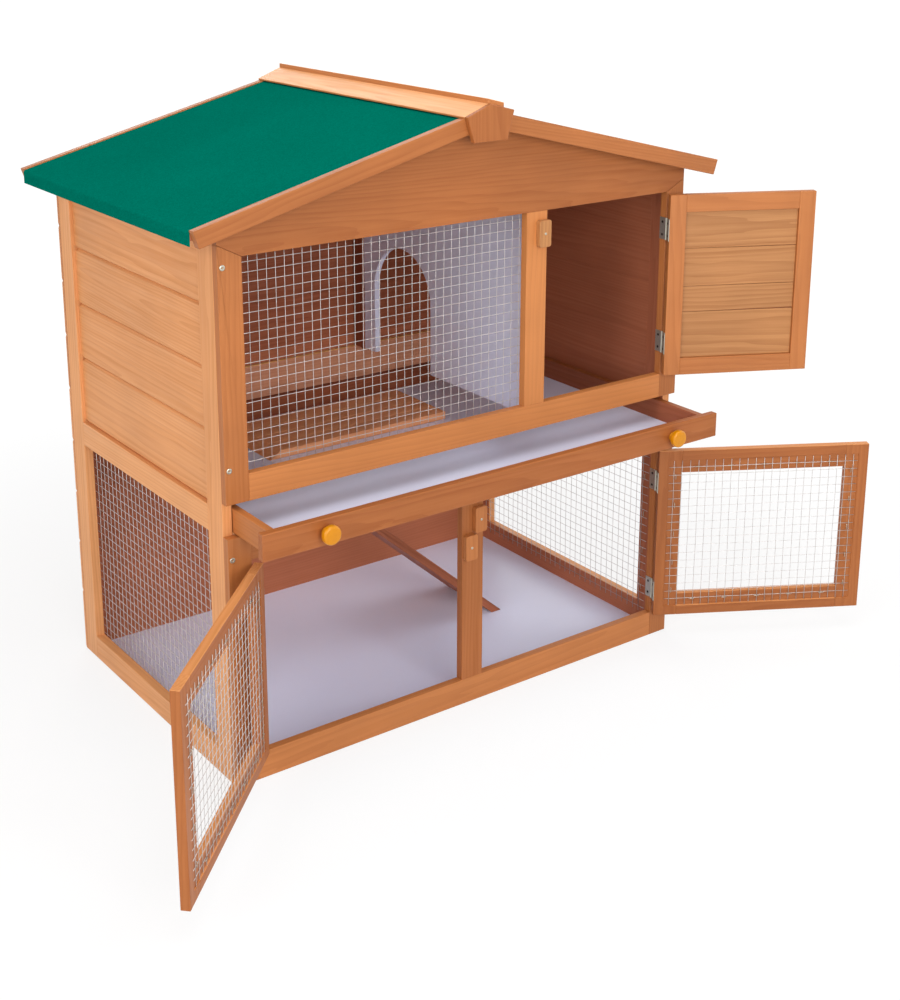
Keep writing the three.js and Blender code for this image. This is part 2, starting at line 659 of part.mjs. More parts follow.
function addUpperDoor(cabinet) {
  const width = stileRight - upperDoorLeft - hingeGap - DOOR_CLEARANCE;
  const [bottom, top] = [upperOpeningBottom + DOOR_CLEARANCE, upperOpeningTop - DOOR_CLEARANCE];
  const hingeHeights = {
    lower: upperOpeningBottom + UPPER_HINGE_LOW,
    upper: upperOpeningTop - UPPER_HINGE_HIGH,
  };
  const { swing, span } = hangDoor(cabinet, {
    name: 'upper_door', hinge: 'right', hingeHeights, angle: UPPER_DOOR_ANGLE,
  });

  const faces = [PIN_STANDOFF, PIN_STANDOFF + FRONT_THICKNESS];
  const panel = [bottom + UPPER_DOOR_RAIL, top - UPPER_DOOR_RAIL];
  const frame = cut(slab(span(0, width), faces, [bottom, top]), [
    slab(span(UPPER_DOOR_STILE, width - UPPER_DOOR_STILE), [faces[0] - 1, faces[1] + 1], panel),
  ]);
  piece(swing, 'upper_door_frame', stainedFir, frame);

  const inner = faces[1] - DOOR_BOARD_RECESS;
  const joints = DOOR_BOARD_JOINTS.map((joint) => panel[0] + joint);
  const height = [panel[0] + GAP, panel[1] - GAP];
  const boards = boardedSection(inner, inner - DOOR_BOARD_THICKNESS, height, joints);
  const reach = span(UPPER_DOOR_STILE + GAP, width - UPPER_DOOR_STILE - GAP);
  piece(swing, 'upper_door_boards', stainedFir, extrude(boards, 'side', reach));
}

// ---------------------------------------------------------------- turn buttons

function addTurnButton(cabinet, name, x, z) {
  const [w, h, r] = [BUTTON_WIDTH / 2, BUTTON_HEIGHT / 2, BUTTON_CORNER];
  const shape = new THREE.Shape();
  shape.absarc(w - r, -h + r, r, -Math.PI / 2, 0, false);
  shape.absarc(w - r, h - r, r, 0, Math.PI / 2, false);
  shape.absarc(-w + r, h - r, r, Math.PI / 2, Math.PI, false);
  shape.absarc(-w + r, -h + r, r, Math.PI, 1.5 * Math.PI, false);
  const button = extrude(shape, 'front', [-GAP - BUTTON_THICKNESS, -GAP]);
  piece(groupAt(cabinet, x, 0, z), name, stainedFir, button);
}

function addTurnButtons(cabinet) {
  const half = BUTTON_WIDTH / 2;
  const upperX = upperDoorLeft + DOOR_CLEARANCE - BUTTON_CLEAR - half;
  const rightX = lowerStileRight + DOOR_CLEARANCE - BUTTON_CLEAR - half;
  const leftX = lowerStileLeft - DOOR_CLEARANCE + LEFT_BUTTON_CLEAR + half;
  const rightZ = lowerOpeningTop - LOWER_BUTTON_DROP;
  const leftZ = rightZ - BUTTON_HEIGHT - BUTTON_SPACING;
  addTurnButton(cabinet, 'upper_turn_button', upperX, upperOpeningTop - UPPER_BUTTON_DROP);
  addTurnButton(cabinet, 'right_turn_button', rightX, rightZ);
  addTurnButton(cabinet, 'left_turn_button', leftX, leftZ);
}

// ---------------------------------------------------------------- tray, lid and ramp

function addKnob(tray, side, x, z) {
  const profile = [
    [0, 0], [KNOB_STEM_RADIUS, 0], [KNOB_STEM_RADIUS, KNOB_STEM_LENGTH],
    [KNOB_RADIUS, KNOB_STEM_LENGTH + 3], [KNOB_RADIUS, KNOB_LENGTH - 5],
    [KNOB_RADIUS - 1.5, KNOB_LENGTH - 2], [KNOB_RADIUS - 5, KNOB_LENGTH - 0.5], [0, KNOB_LENGTH],
  ];
  const points = profile.map(([radius, along]) => new THREE.Vector2(radius, along));
  const knob = new THREE.LatheGeometry(points, 18).rotateX(Math.PI);
  piece(groupAt(tray, x, 0, z), `tray_knob_${side}`, yellowPaint, knob);
}

function addTray(cabinet) {
  const tray = groupAt(cabinet, 0, -TRAY_PULLED_OUT, 0);
  const frontBottom = lowerTop + TRAY_FRONT_LIFT;
  const frontLevel = [frontBottom, frontBottom + TRAY_FRONT_HEIGHT];
  piece(tray, 'tray_front', stainedFir,
    slab([0, BODY_WIDTH], [0, TRAY_FRONT_THICKNESS], frontLevel));
  const knobZ = frontBottom + TRAY_FRONT_HEIGHT / 2;
  addKnob(tray, 'left', KNOB_INSET, knobZ);
  addKnob(tray, 'right', BODY_WIDTH - KNOB_INSET, knobZ);

  const start = TRAY_FRONT_THICKNESS;
  const end = trayRear - TRAY_SIDE;
  const [left, right] = [trayLeft + TRAY_SIDE, trayRight - TRAY_SIDE];
  const walls = outline([
    [left, start], [left, end], [right, end], [right, start],
    [trayRight, start], [trayRight, trayRear], [trayLeft, trayRear], [trayLeft, start],
  ]);
  piece(tray, 'tray_walls', shadedFir,
    extrude(walls, 'plan', [trayBottom, trayBottom + TRAY_SIDE_HEIGHT]));

  const base = outline([[left, start], [right, start], [right, end], [left, end]]);
  const hatchRight = HATCH_LEFT + HATCH_LENGTH;
  base.holes.push(outline([
    [HATCH_LEFT, hatchFront], [HATCH_LEFT, hatchRear], [hatchRight, hatchRear], [hatchRight, hatchFront],
  ]));
  piece(tray, 'tray_base', whiteBoard, extrude(base, 'plan', [trayBottom, trayBottom + TRAY_BASE]));
  addLid(tray);
  addRamp(tray);
}

function addLid(tray) {
  const [left, right] = [HATCH_LEFT - LID_END_LAP, HATCH_LEFT + HATCH_LENGTH + LID_END_LAP];
  const depth = [hatchFront - LID_FRONT_LAP, hatchRear + LID_REAR_LAP];
  const bottom = trayBottom + TRAY_BASE + GAP;
  const pinY = depth[1] + LID_PIN_OFFSET;
  const pinZ = bottom + LID_PIN_OFFSET;
  const lid = outline([
    [left, -LID_PIN_OFFSET], [right, -LID_PIN_OFFSET],
    [right, LID_THICKNESS - LID_PIN_OFFSET], [left + LID_BEVEL, LID_THICKNESS - LID_PIN_OFFSET],
  ]);
  piece(groupAt(tray, 0, pinY, pinZ), 'hatch_lid', shadedFir,
    extrude(lid, 'front', depth.map((y) => y - pinY)));
}

function addRamp(tray) {
  const headX = HATCH_LEFT + RAMP_HEAD_INSET;
  const headZ = trayBottom - RAMP_HEAD_GAP;
  const footZ = FLOOR_THICKNESS + GAP;
  const footX = headX + (headZ - footZ) / RAMP_SLOPE;
  const thickness = (RAMP_THICKNESS * Math.hypot(1, RAMP_SLOPE)) / RAMP_SLOPE; // along X
  const pivotX = headX - RAMP_PIVOT_SETBACK;
  const pivotZ = headZ - RAMP_PIVOT_DROP;
  const plank = [
    [footX - thickness, footZ], [footX, footZ], [headX, headZ], [headX - thickness, headZ],
  ].map(([x, z]) => [x - pivotX, z - pivotZ]);
  const near = hatchFront - RAMP_FRONT_LAP;
  piece(groupAt(tray, pivotX, near, pivotZ), 'ramp', shadedFir,
    extrude(outline(plank), 'front', [0, RAMP_WIDTH]));
}

// ---------------------------------------------------------------- whole hutch

const hutch = new THREE.Group();
hutch.position.set(-BODY_WIDTH / 2, -BODY_DEPTH / 2, 0);
addSidePanel(hutch, 'left');
addSidePanel(hutch, 'right');
addBack(hutch);
addUpperFront(hutch);
addLowerFront(hutch);
addInside(hutch);
addDeckAndFelt(hutch);
addBargeBoards(hutch);
addRidge(hutch);
addUpperDoor(hutch);
addMeshDoor(hutch, 'left', LEFT_DOOR_ANGLE);
addMeshDoor(hutch, 'right', RIGHT_DOOR_ANGLE);
addTurnButtons(hutch);
addTray(hutch);

export default hutch;
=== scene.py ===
# %% [markdown]
# # A two-storey rabbit hutch
#
# The hutch is a stained softwood cabinet under a felted gable roof. Upstairs are a room
# behind wire mesh and a sleeping room behind a hinged door. Their floor is a pull-out tray
# with a hatch, and a ramp goes down through it to the run behind two mesh doors.
#
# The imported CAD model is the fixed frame. Boards, wires and knobs take their places from the
# boxes of its nodes, and doors and hinges from its joints.

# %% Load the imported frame
import json
import math

import bpy
import numpy as np
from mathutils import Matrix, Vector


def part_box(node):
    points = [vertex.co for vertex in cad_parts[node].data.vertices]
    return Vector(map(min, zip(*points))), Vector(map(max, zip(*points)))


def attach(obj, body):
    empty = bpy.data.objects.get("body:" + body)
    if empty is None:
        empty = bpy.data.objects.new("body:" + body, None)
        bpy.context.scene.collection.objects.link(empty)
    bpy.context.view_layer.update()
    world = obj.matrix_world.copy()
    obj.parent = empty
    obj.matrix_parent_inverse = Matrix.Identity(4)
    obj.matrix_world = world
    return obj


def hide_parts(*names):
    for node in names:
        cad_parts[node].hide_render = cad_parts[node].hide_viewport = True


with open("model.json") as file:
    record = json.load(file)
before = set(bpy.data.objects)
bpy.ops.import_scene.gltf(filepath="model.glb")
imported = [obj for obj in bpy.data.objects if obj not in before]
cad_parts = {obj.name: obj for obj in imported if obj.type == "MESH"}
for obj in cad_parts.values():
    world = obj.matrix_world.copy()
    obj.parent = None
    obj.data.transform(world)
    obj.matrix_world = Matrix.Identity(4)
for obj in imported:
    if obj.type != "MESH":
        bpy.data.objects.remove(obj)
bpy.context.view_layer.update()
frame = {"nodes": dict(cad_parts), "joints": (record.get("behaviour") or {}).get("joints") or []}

# %% [markdown]
# ## Camera
#
# A product shot of a hutch is taken from the left, a little above the roof, so that one
# side, the front and the inside of the doors all show. The view turns 35.9 degrees to the
# right and looks down 15.5 degrees. A long lens keeps the uprights nearly parallel, and a
# downward shift frames the hutch without tilting the camera further.

# %% Camera
def put_in_scene(name, data):
    """An object for a camera, mesh or lamp, linked to the scene."""
    made = bpy.data.objects.new(name, data)
    bpy.context.scene.collection.objects.link(made)
    return made


TURNED_RIGHT, LOOKING_DOWN = 35.9, 15.5  # degrees
lens = bpy.data.cameras.new("camera")
lens.lens = 55.32
lens.sensor_width = 36
lens.shift_x = 0.0152
lens.shift_y = -0.18
camera = put_in_scene("camera", lens)
camera.location = (-1.4211, -2.1388, 1.3175)
camera.rotation_euler = (math.radians(90 - LOOKING_DOWN), 0, math.radians(-TURNED_RIGHT))
bpy.context.scene.camera = camera
print("camera", tuple(round(v, 3) for v in camera.location))

# %% [markdown]
# ## Nodes for materials
#
# A colour is picked as it looks on a screen, in sRGB, but light is added up in linear
# numbers. One function turns a hex colour to linear, and one adds a node with its settings
# and links. Every finish below is made with these two.

# %% Colour and node helpers
def linear(hex_colour):
    """Linear RGBA from an sRGB hex colour: c/12.92 below 0.04045, ((c + 0.055)/1.055)^2.4 above."""
    channels = [int(hex_colour[i:i + 2], 16) / 255 for i in (1, 3, 5)]
    return [c / 12.92 if c <= 0.04045 else ((c + 0.055) / 1.055) ** 2.4 for c in channels] + [1.0]


def add(tree, kind, sockets=None, **settings):
    """Adds a node. `settings` are its own properties. `sockets` maps an input's name or number
    to a value, or to another node's output to link."""
    made = tree.nodes.new("ShaderNode" + kind)
    for key, value in settings.items():
        setattr(made, key, value)
    for key, value in (sockets or {}).items():
        if isinstance(value, bpy.types.NodeSocket):
            tree.links.new(value, made.inputs[key])
        else:
            made.inputs[key].default_value = value
    return made


def new_material(name):
    """An empty node material and its tree."""
    material = bpy.data.materials.new(name)
    material.use_nodes = True
    material.node_tree.nodes.clear()
    return material, material.node_tree


def finish_with(tree, shader):
    """Links a shader to the material's output."""
    add(tree, "OutputMaterial", {"Surface": shader.outputs[0]})


# %% [markdown]
# ## Stained fir
#
# The cabinet is planed fir with a thin coat of orange wood stain. Fir grows in rings: soft
# pale wood in spring, then a thin darker line in summer. A sawn board cuts those rings
# nearly along their length, so its face shows long lines and pointed arches, and its ends
# show arcs. A picture of grain would repeat and would not turn the corner, so the rings are
# made as cylinders about a tree's middle that runs beside each board.
#
# Each board brings two attributes of its own, so that its pattern stays with a door when it
# swings. "grain" holds coordinates in metres, the first along the grain and the other two
# across it, moved by a different amount for each board. "tone" is one number from 0 to 1,
# because no two boards drink the same amount of stain. On a few boards inside, a deeper
# tone is painted shade.

# %% Stained fir, planed
def stained_fir(name, pale, deep, knot, roughness=0.5, contrast=0.22):
    """Planed fir under a satin stain. Rings 5 mm apart, fibres 0.8 mm wide, streaks 6 mm wide,
    stain that lies uneven over 150 mm, and a few knots 12 mm across. `pale` and `deep` are the
    lightest and the deepest board, and `contrast` is how much of the way between them the
    grain of one board covers."""
    material, tree = new_material(name)
    own = {"attribute_type": "GEOMETRY"}
    grain = add(tree, "Attribute", attribute_name="grain", **own).outputs["Vector"]
    tone = add(tree, "Attribute", attribute_name="tone", **own).outputs["Fac"]

    # Rings: the wave node's period is 2 pi / 20 / scale, so 5 mm needs a scale of 62.8. The
    # length is squeezed ten times first, so that the wander of the rings is ten times
    # longer along the grain than across it.
    squeezed = add(tree, "Mapping", {"Vector": grain, "Scale": (0.1, 1.0, 1.0)})
    rings = add(tree, "TexWave", {
        "Vector": squeezed.outputs[0], "Scale": 2 * math.pi / 20 / 0.005, "Distortion": 12.0,
        "Detail": 3.0, "Detail Scale": 0.3, "Detail Roughness": 0.6,
    }, wave_type="RINGS", rings_direction="X", wave_profile="SAW")
    summer = add(tree, "MapRange", {
        "Value": rings.outputs["Fac"], "From Min": 0.25, "From Max": 1.0,
    }, interpolation_type="SMOOTHSTEP")

    # Fibres: 0.8 mm across and 62.5 mm long.
    threads = add(tree, "Mapping", {"Vector": grain, "Scale": (1 / 0.0625, 1 / 0.0008, 1 / 0.0008)})
    fibres = add(tree, "TexNoise", {"Vector": threads.outputs[0], "Scale": 1.0, "Detail": 2.0})
    # Streaks of deeper stain: 6.25 mm across and a third of a metre long.
    bands = add(tree, "Mapping", {"Vector": grain, "Scale": (3.0, 1 / 0.00625, 1 / 0.00625)})
    streaks = add(tree, "TexNoise", {"Vector": bands.outputs[0], "Scale": 1.0, "Detail": 3.0})
    # Patches where the stain was brushed on thicker.
    patches = add(tree, "TexNoise", {"Vector": grain, "Scale": 7.0, "Detail": 2.0})

    # Rings, streaks and fibres add up to a number round nought, which shifts the board's tone.
    shade = add(tree, "Math", {0: summer.outputs[0], 1: 0.6, 2: -1.2}, operation="MULTIPLY_ADD")
    for layer, weight in ((streaks, 1.2), (fibres, 0.7)):
        shade = add(tree, "Math", {
            0: layer.outputs["Fac"], 1: weight, 2: shade.outputs[0],
        }, operation="MULTIPLY_ADD")
    shade = add(tree, "Math", {
        0: shade.outputs[0], 1: contrast, 2: tone,
    }, operation="MULTIPLY_ADD", use_clamp=True)
    wood = add(tree, "Mix", {0: shade.outputs[0], 6: linear(pale), 7: linear(deep)}, data_type="RGBA")
    level = add(tree, "MapRange", {
        "Value": patches.outputs["Fac"], "From Min": 0.3, "From Max": 0.7, "To Min": 0.94, "To Max": 1.06,
    })
    toned = add(tree, "HueSaturation", {"Value": level.outputs[0], "Color": wood.outputs[2]})

    # Knots: one cell in thirty of a 380 x 110 mm grid has one, as a dark eye with a soft rim.
    cells = add(tree, "Mapping", {"Vector": grain, "Scale": (1 / 0.38, 1 / 0.11, 0.0)})
    branch = add(tree, "TexVoronoi", {
        "Vector": cells.outputs[0], "Scale": 1.0,
    }, voronoi_dimensions="2D")
    chance = add(tree, "SeparateColor", {0: branch.outputs["Color"]})
    chosen = add(tree, "Math", {0: chance.outputs[0], 1: 0.965}, operation="GREATER_THAN")
    eye = add(tree, "MapRange", {
        "Value": branch.outputs["Distance"], "From Min": 0.035, "From Max": 0.085,
        "To Min": 0.8, "To Max": 0.0,
    }, interpolation_type="SMOOTHSTEP")
    knots = add(tree, "Math", {0: chosen.outputs[0], 1: eye.outputs[0]}, operation="MULTIPLY")
    coloured = add(tree, "Mix", {
        0: knots.outputs[0], 6: toned.outputs[0], 7: linear(knot),
    }, data_type="RGBA")

    sheen = add(tree, "MapRange", {
        "Value": streaks.outputs["Fac"], "From Min": 0.3, "From Max": 0.7,
        "To Min": roughness - 0.07, "To Max": roughness + 0.09,
    })
    relief = add(tree, "Math", {
        0: summer.outputs[0], 1: 0.5, 2: fibres.outputs["Fac"],
    }, operation="MULTIPLY_ADD")
    bump = add(tree, "Bump", {"Height": relief.outputs[0], "Strength": 0.25, "Distance": 0.0003})
    finish_with(tree, add(tree, "BsdfPrincipled", {
        "Base Color": coloured.outputs[2], "Roughness": sheen.outputs[0], "Normal": bump.outputs[0],
        "IOR": 1.5, "Specular IOR Level": 0.35,
    }))
    return material


fir = stained_fir("fir_stained_orange", "#c37c44", "#8b491b", "#6e3c1c")
# Paler than the front: partly the side boards' own lighter stain, partly painted light from the left. On
# top faces it is a painted highlight.
fir_side_and_highlight = stained_fir("fir_stained_side", "#e8a66e", "#bb743a", "#8a5228", contrast=0.32)
fir_panel = stained_fir("fir_stained_panel", "#bc8552", "#8f582d", "#6e3c1c", contrast=0.45)
# A pale copy for top faces, as a painted highlight where light falls on the top edges.
fir_top_highlight = stained_fir("fir_stained_pale", "#f0bb7c", "#cd924e", "#8d5730", contrast=0.6)
fir_brown = stained_fir("fir_stained_brown", "#dc9d78", "#a9694b", "#5a3018", roughness=0.55)
# A lighter copy of the brown, as painted light on the hatch lid in the room's shade.
fir_lid_lit = stained_fir("fir_stained_light_brown", "#fbb583", "#d98a58", "#5a3018", roughness=0.55)
# Red-brown: on inner faces and in dark corners inside the hutch it is painted shade.
fir_deep_and_shade = stained_fir("fir_stained_red_brown", "#bf7350", "#8a482b", "#4c2411", roughness=0.6)
woods = (fir, fir_side_and_highlight, fir_panel, fir_top_highlight, fir_brown, fir_lid_lit, fir_deep_and_shade)
print("wood finishes", [m.name for m in woods])

# %% [markdown]
# ## A board
#
# Every timber piece is a flat outline carried along a straight line: a rail's section along
# its length, or a gable's shape through its thickness. A plane never leaves a perfectly
# sharp arris, so each corner becomes a short curve and both ends are drawn in a little.
# That gives every edge a thin line of light, which a plain box lacks.

# %% Surfaces through rings of points
def surface(name, points, faces, turned_out, smooth):
    """A mesh object from points and faces. Where `turned_out` is False the faces were listed
    clockwise as seen from outside, so each is turned round."""
    if not turned_out:
        faces = [face[::-1] for face in faces]
    mesh = bpy.data.meshes.new(name)
    mesh.from_pydata(points, [], faces)
    if smooth:
        mesh.polygons.foreach_set("use_smooth", np.ones(len(faces), bool))
    return put_in_scene(name, mesh)


def shell(name, rings, turned_out=True, smooth=False):
    """Closed surface through M rings of N points: position is a function of ring and place
    round it. Neighbouring rings are joined by four-sided faces, and one face closes each end."""
    count, around = rings.shape[:2]
    index = np.arange(count * around).reshape(count, around)
    beside = np.roll(index, -1, axis=1)
    walls = np.stack([index[:-1], beside[:-1], beside[1:], index[1:]], axis=-1).reshape(-1, 4)
    faces = walls.tolist() + [index[0][::-1].tolist(), index[-1].tolist()]
    return surface(name, rings.reshape(-1, 3), faces, turned_out, smooth)


def softened(outline, soft):
    """Each corner P between edge directions a and b as three points: P - soft a,
    P + soft (b - a)/4 and P + soft b. Also gives the outward direction at each, which for an
    anticlockwise outline is an edge direction (x, y) turned to (y, -x)."""
    points = np.asarray(outline, float)
    a = points - np.roll(points, 1, axis=0)
    a /= np.linalg.norm(a, axis=1, keepdims=True)
    b = np.roll(a, -1, axis=0)
    corners = np.stack([points - soft * a, points + soft * (b - a) / 4, points + soft * b], axis=1)
    out_a, out_b = (np.stack([d[:, 1], -d[:, 0]], axis=1) for d in (a, b))
    between = out_a + out_b
    between /= np.linalg.norm(between, axis=1, keepdims=True)
    return corners.reshape(-1, 2), np.stack([out_a, between, out_b], axis=1).reshape(-1, 2)


# %% Boards
seeds = np.random.default_rng(7)
AXES = {"x": (1, 2, 0), "y": (0, 2, 1), "z": (0, 1, 2)}  # the two axes of a section, and its own
DRAWN_IN = ((0.9, 0.0), (0.3, 0.3))  # at an end: shares of soft drawn in, and along the board
boards = []
shown = set()


def ride_as(made, body, material, slot, stands_for=()):
    """Finishes a piece: material, body and the CAD nodes it stands for. `slot` is not used. Of
    several pieces that make up one node, the first stands for it."""
    made.data.materials.clear()
    made.data.materials.append(material)
    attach(made, body)
    stands_for = [node for node in stands_for if node not in shown]
    if stands_for:
        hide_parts(*stands_for)
        shown.update(stands_for)
    return made


def finish_faces(made, direction, finish):
    """Gives a second finish to the faces whose normal n has n . direction above 0.3."""
    made.data.materials.append(finish)
    facing = np.empty(len(made.data.polygons) * 3)
    made.data.polygons.foreach_get("normal", facing)
    looks = facing.reshape(-1, 3) @ np.asarray(direction, float) > 0.3
    made.data.polygons.foreach_set("material_index", looks.astype(np.int32))


def board(name, stations, carried, grain, body="hutch", material=fir, stands_for=(), soft=0.0008,
          move=None, slot="stained_fir", tone=0.5, faced=None):
    """A flat outline carried along axis `carried` through `stations`, pairs of a place on that
    axis and the outline there. The first and last outlines are drawn in by 0.9 soft over a
    length of soft. `grain` is the direction the fibres run, `move` places the finished points,
    and `faced` is a direction and the finish of the faces that look that way."""
    def end(place, outline, inward):
        points, out = softened(outline, soft)
        return [(place + inward * step * soft, points - inset * soft * out) for inset, step in DRAWN_IN]

    (start, first), (finish, last) = stations[0], stations[-1]
    middle = [(min(max(place, start + soft), finish - soft), softened(outline, soft)[0])
              for place, outline in stations]
    places, outlines = zip(*end(start, first, 1), *middle, *end(finish, last, -1)[::-1])
    u, v, w = AXES[carried]
    rings = np.empty((len(places), len(outlines[0]), 3))
    rings[..., u], rings[..., v] = np.moveaxis(np.array(outlines), -1, 0)
    rings[..., w] = np.array(places)[:, None]

    # Fibres run along `grain`. The board's middle lies 15 to 86 mm from its tree's middle,
    # and its length leans on the fibres by up to 3 in 100.
    along = np.asarray(grain, float) / np.linalg.norm(grain)
    flat = np.eye(3)[int(np.argmin(np.ptp(rings.reshape(-1, 3), axis=0)))]
    basis = np.stack([along, np.cross(flat, along), flat], axis=1)
    shift = [seeds.uniform(-9, 9), seeds.uniform(-0.05, 0.05), seeds.uniform(0.015, 0.07)]
    local = (rings.reshape(-1, 3) - rings.reshape(-1, 3).mean(axis=0)) @ basis
    local[:, 1:] += seeds.uniform(-0.03, 0.03, 2) * local[:, :1]
    local += shift

    made = shell(name, rings if move is None else move(rings), turned_out=carried != "y")
    tones = np.full(len(local), tone + seeds.uniform(-0.05, 0.05))
    for key, kind, field, values in (
        ("grain", "FLOAT_VECTOR", "vector", local.ravel()), ("tone", "FLOAT", "value", tones),
    ):
        made.data.attributes.new(key, kind, "POINT").data.foreach_set(field, values)
    boards.append(name)
    ride_as(made, body, material, slot, stands_for)
    if faced is not None:
        finish_faces(made, *faced)
    return made


def straight(name, low, high, along, **details):
    """A rectangular board between two corners, its section carried along the axis that its
    fibres follow."""
    u, v, w = AXES[along]
    outline = [(low[u], low[v]), (high[u], low[v]), (high[u], high[v]), (low[u], high[v])]
    return board(name, [(low[w], outline), (high[w], outline)], along, np.eye(3)[w], **details)


def corners(node):
    """A CAD node's low and high corners at rest, as arrays."""
    return tuple(np.array(corner, float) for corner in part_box(node))


def spans(*ends):
    """Each stretch between neighbouring ends, with its number from 1 up."""
    return list(enumerate(zip(ends[:-1], ends[1:]), 1))


# %% [markdown]
# ## Front frame
#
# Stiles and rails are flat boards. The corner stiles run from the ground to the roof in two
# storeys, with the tray's slot between them, and the gable board is cut to the roof's slope
# and sits on mitred ends of the stiles.

# %% Front frame
SLOPE = 0.251  # rise of the roof for each metre towards the ridge
MITRE = 0.0204  # rise of a corner stile's mitred end across its width

for node, (along, tone) in {
    "upper_bottom_rail": ("x", 0.1), "upper_middle_stile": ("z", 0.08), "lower_left_stile": ("z", 0.4),
    "lower_right_stile": ("z", 0.6), "lower_bottom_rail": ("x", 0.3), "lower_top_rail": ("x", 0.6),
    "lower_middle_stile": ("z", 0.65),
}.items():
    straight(node + "_board", *corners(node), along, tone=tone, stands_for=[node])

left_low, left_high = corners("upper_left_stile")
right_low, right_high = corners("upper_right_stile")
gable_low, gable_high = corners("front_gable")
front, behind = gable_low[1], gable_high[1]
for node, inner, outer, low, high in (
    ("upper_left_stile", left_high[0], left_low[0], left_low, left_high),
    ("upper_right_stile", right_low[0], right_high[0], right_low, right_high),
):
    outline = [(inner, low[2]), (inner, high[2] - MITRE), (outer, high[2]), (outer, low[2])]
    outline = outline if inner > outer else outline[::-1]
    board(node + "_board", [(front, outline), (behind, outline)], "y", (0, 0, 1), tone=0.52,
          stands_for=[node])

eaves = gable_high[2] - SLOPE * gable_high[0]
gable = [
    (left_high[0], gable_low[2]), (right_low[0], gable_low[2]), (gable_high[0], gable_low[2] + MITRE),
    (gable_high[0], eaves), (0.0, gable_high[2]), (gable_low[0], eaves),
    (gable_low[0], gable_low[2] + MITRE),
]
board("front_gable_board", [(front, gable), (behind, gable)], "y", (1, 0, 0), tone=0.7,
      stands_for=["front_gable"])
print("front frame boards", len(boards))

# %% [markdown]
# ## Side and back panels
#
# Each side is a frame of two posts and two rails. Its upper field holds boards laid edge to
# edge with a bevel on every long edge, so each joint is a V. The back is boards of the same
# width, nailed on behind with the same bevels on their outer faces. The inner faces get a
# deeper, redder copy of the stain, as painted shade inside the hutch.

# %% Side frames and their boards
FIRST_COURSE, COURSE, LEAST_COURSE = 0.114, 0.0953, 0.003
BEVEL = 0.0036  # on a board's long edges, as deep as it is high
# Where a side board meets the rear post its corners are cut away, deeper than the bevel, and
# a little of the joint is open all through.
NOTCH_DEPTH, NOTCH_HEIGHT, NOTCH_GAP = 0.0065, 0.0045, 0.0022
NOTCH_RUN = 0.0006  # length over which the bevel turns into the notch


def courses(bottom, top):
    """Stretches between the joints of boards laid from the bottom up, numbered from 1."""
    joints = np.arange(bottom + FIRST_COURSE, top - LEAST_COURSE, COURSE)
    return spans(bottom, *joints, top)


for side, inward in (("left", 1), ("right", -1)):
    low, high = corners(f"side_{side}_frame")
    hole_low, hole_high = corners(f"side_{side}_mesh")
    field_low, field_high = corners(f"side_{side}_boards")
    # Faces towards the inside get the red-brown finish as painted shade inside the hutch.
    shaded_inside = ((inward, 0, 0), fir_deep_and_shade)
    usual = {"material": fir_side_and_highlight, "tone": 0.35, "faced": shaded_inside, "stands_for": [f"side_{side}_frame"]}
    straight(f"side_{side}_front_post", low, (high[0], hole_low[1], high[2]), "z",
             **(usual | {"tone": 0.5}))
    straight(f"side_{side}_rear_post", (low[0], hole_high[1], low[2]), high, "z", **usual)
    for part, bottom, top in (("bottom", low[2], hole_low[2]), ("middle", hole_high[2], field_low[2])):
        straight(f"side_{side}_{part}_rail", (low[0], hole_low[1], bottom), (high[0], hole_high[1], top),
                 "y", **usual)

    face, rear = (field_low[0], field_high[0])[::inward]
    start, end = field_low[1], field_high[1]
    for number, (bottom, top) in courses(field_low[2], field_high[2]):
        plain, notched = (
            [(face + inward * deep, bottom + gap), (rear, bottom + gap), (rear, top - gap),
             (face + inward * deep, top - gap), (face, top - cut), (face, bottom + cut)][::inward]
            for deep, cut, gap in ((BEVEL, BEVEL, 0.0), (NOTCH_DEPTH, NOTCH_HEIGHT, NOTCH_GAP))
        )
        stations = [(start, plain), (end - NOTCH_DEPTH, plain),
                    (end - NOTCH_DEPTH + NOTCH_RUN, notched), (end, notched)]
        board(f"side_{side}_board_{number}", stations, "y", (0, 1, 0), soft=0.0005, material=fir_side_and_highlight,
              faced=shaded_inside, stands_for=[f"side_{side}_boards"])
print("with the sides", len(boards))

# %% Back boards, back rail, runners and a batten
low, high = corners("back_boards")
back_eaves = high[2] - SLOPE * high[0]
upper_storey = low[2] + 0.4
TUCK = 0.004  # how far the cut ends reach past the roof's line, under the deck
LEAST_BEND = 0.001


def back_outline(bottom, top, inset=0.0):
    """A back board between two heights less an inset, cut to the roof's slope on both sides."""
    z0, z1 = bottom + inset, top - inset
    reach = [min(high[0], (high[2] - z) / SLOPE + TUCK) for z in (z0, z1)]
    outline = [(-reach[0], z0), (reach[0], z0), (reach[1], z1), (-reach[1], z1)]
    if bottom < back_eaves < top:
        bend = min(max(back_eaves, z0 + LEAST_BEND), z1 - LEAST_BEND)
        outline[2:2] = [(reach[0], bend)]
        outline += [(-reach[0], bend)]
    return outline


# Inner faces get the red-brown finish as painted shade inside the hutch, and the boards of the upper storey
# a deeper tone, as painted shade in the upper rooms.
for number, (bottom, top) in courses(low[2], high[2]):
    outline = back_outline(bottom, top)
    stations = [(low[1], outline), (high[1] - BEVEL, outline), (high[1], back_outline(bottom, top, BEVEL))]
    board(f"back_board_{number}", stations, "y", (1, 0, 0), material=fir_side_and_highlight, slot="shaded_fir",
          faced=((0, -1, 0), fir_deep_and_shade), tone=0.85 if bottom > upper_storey else 0.5,
          stands_for=["back_boards"])

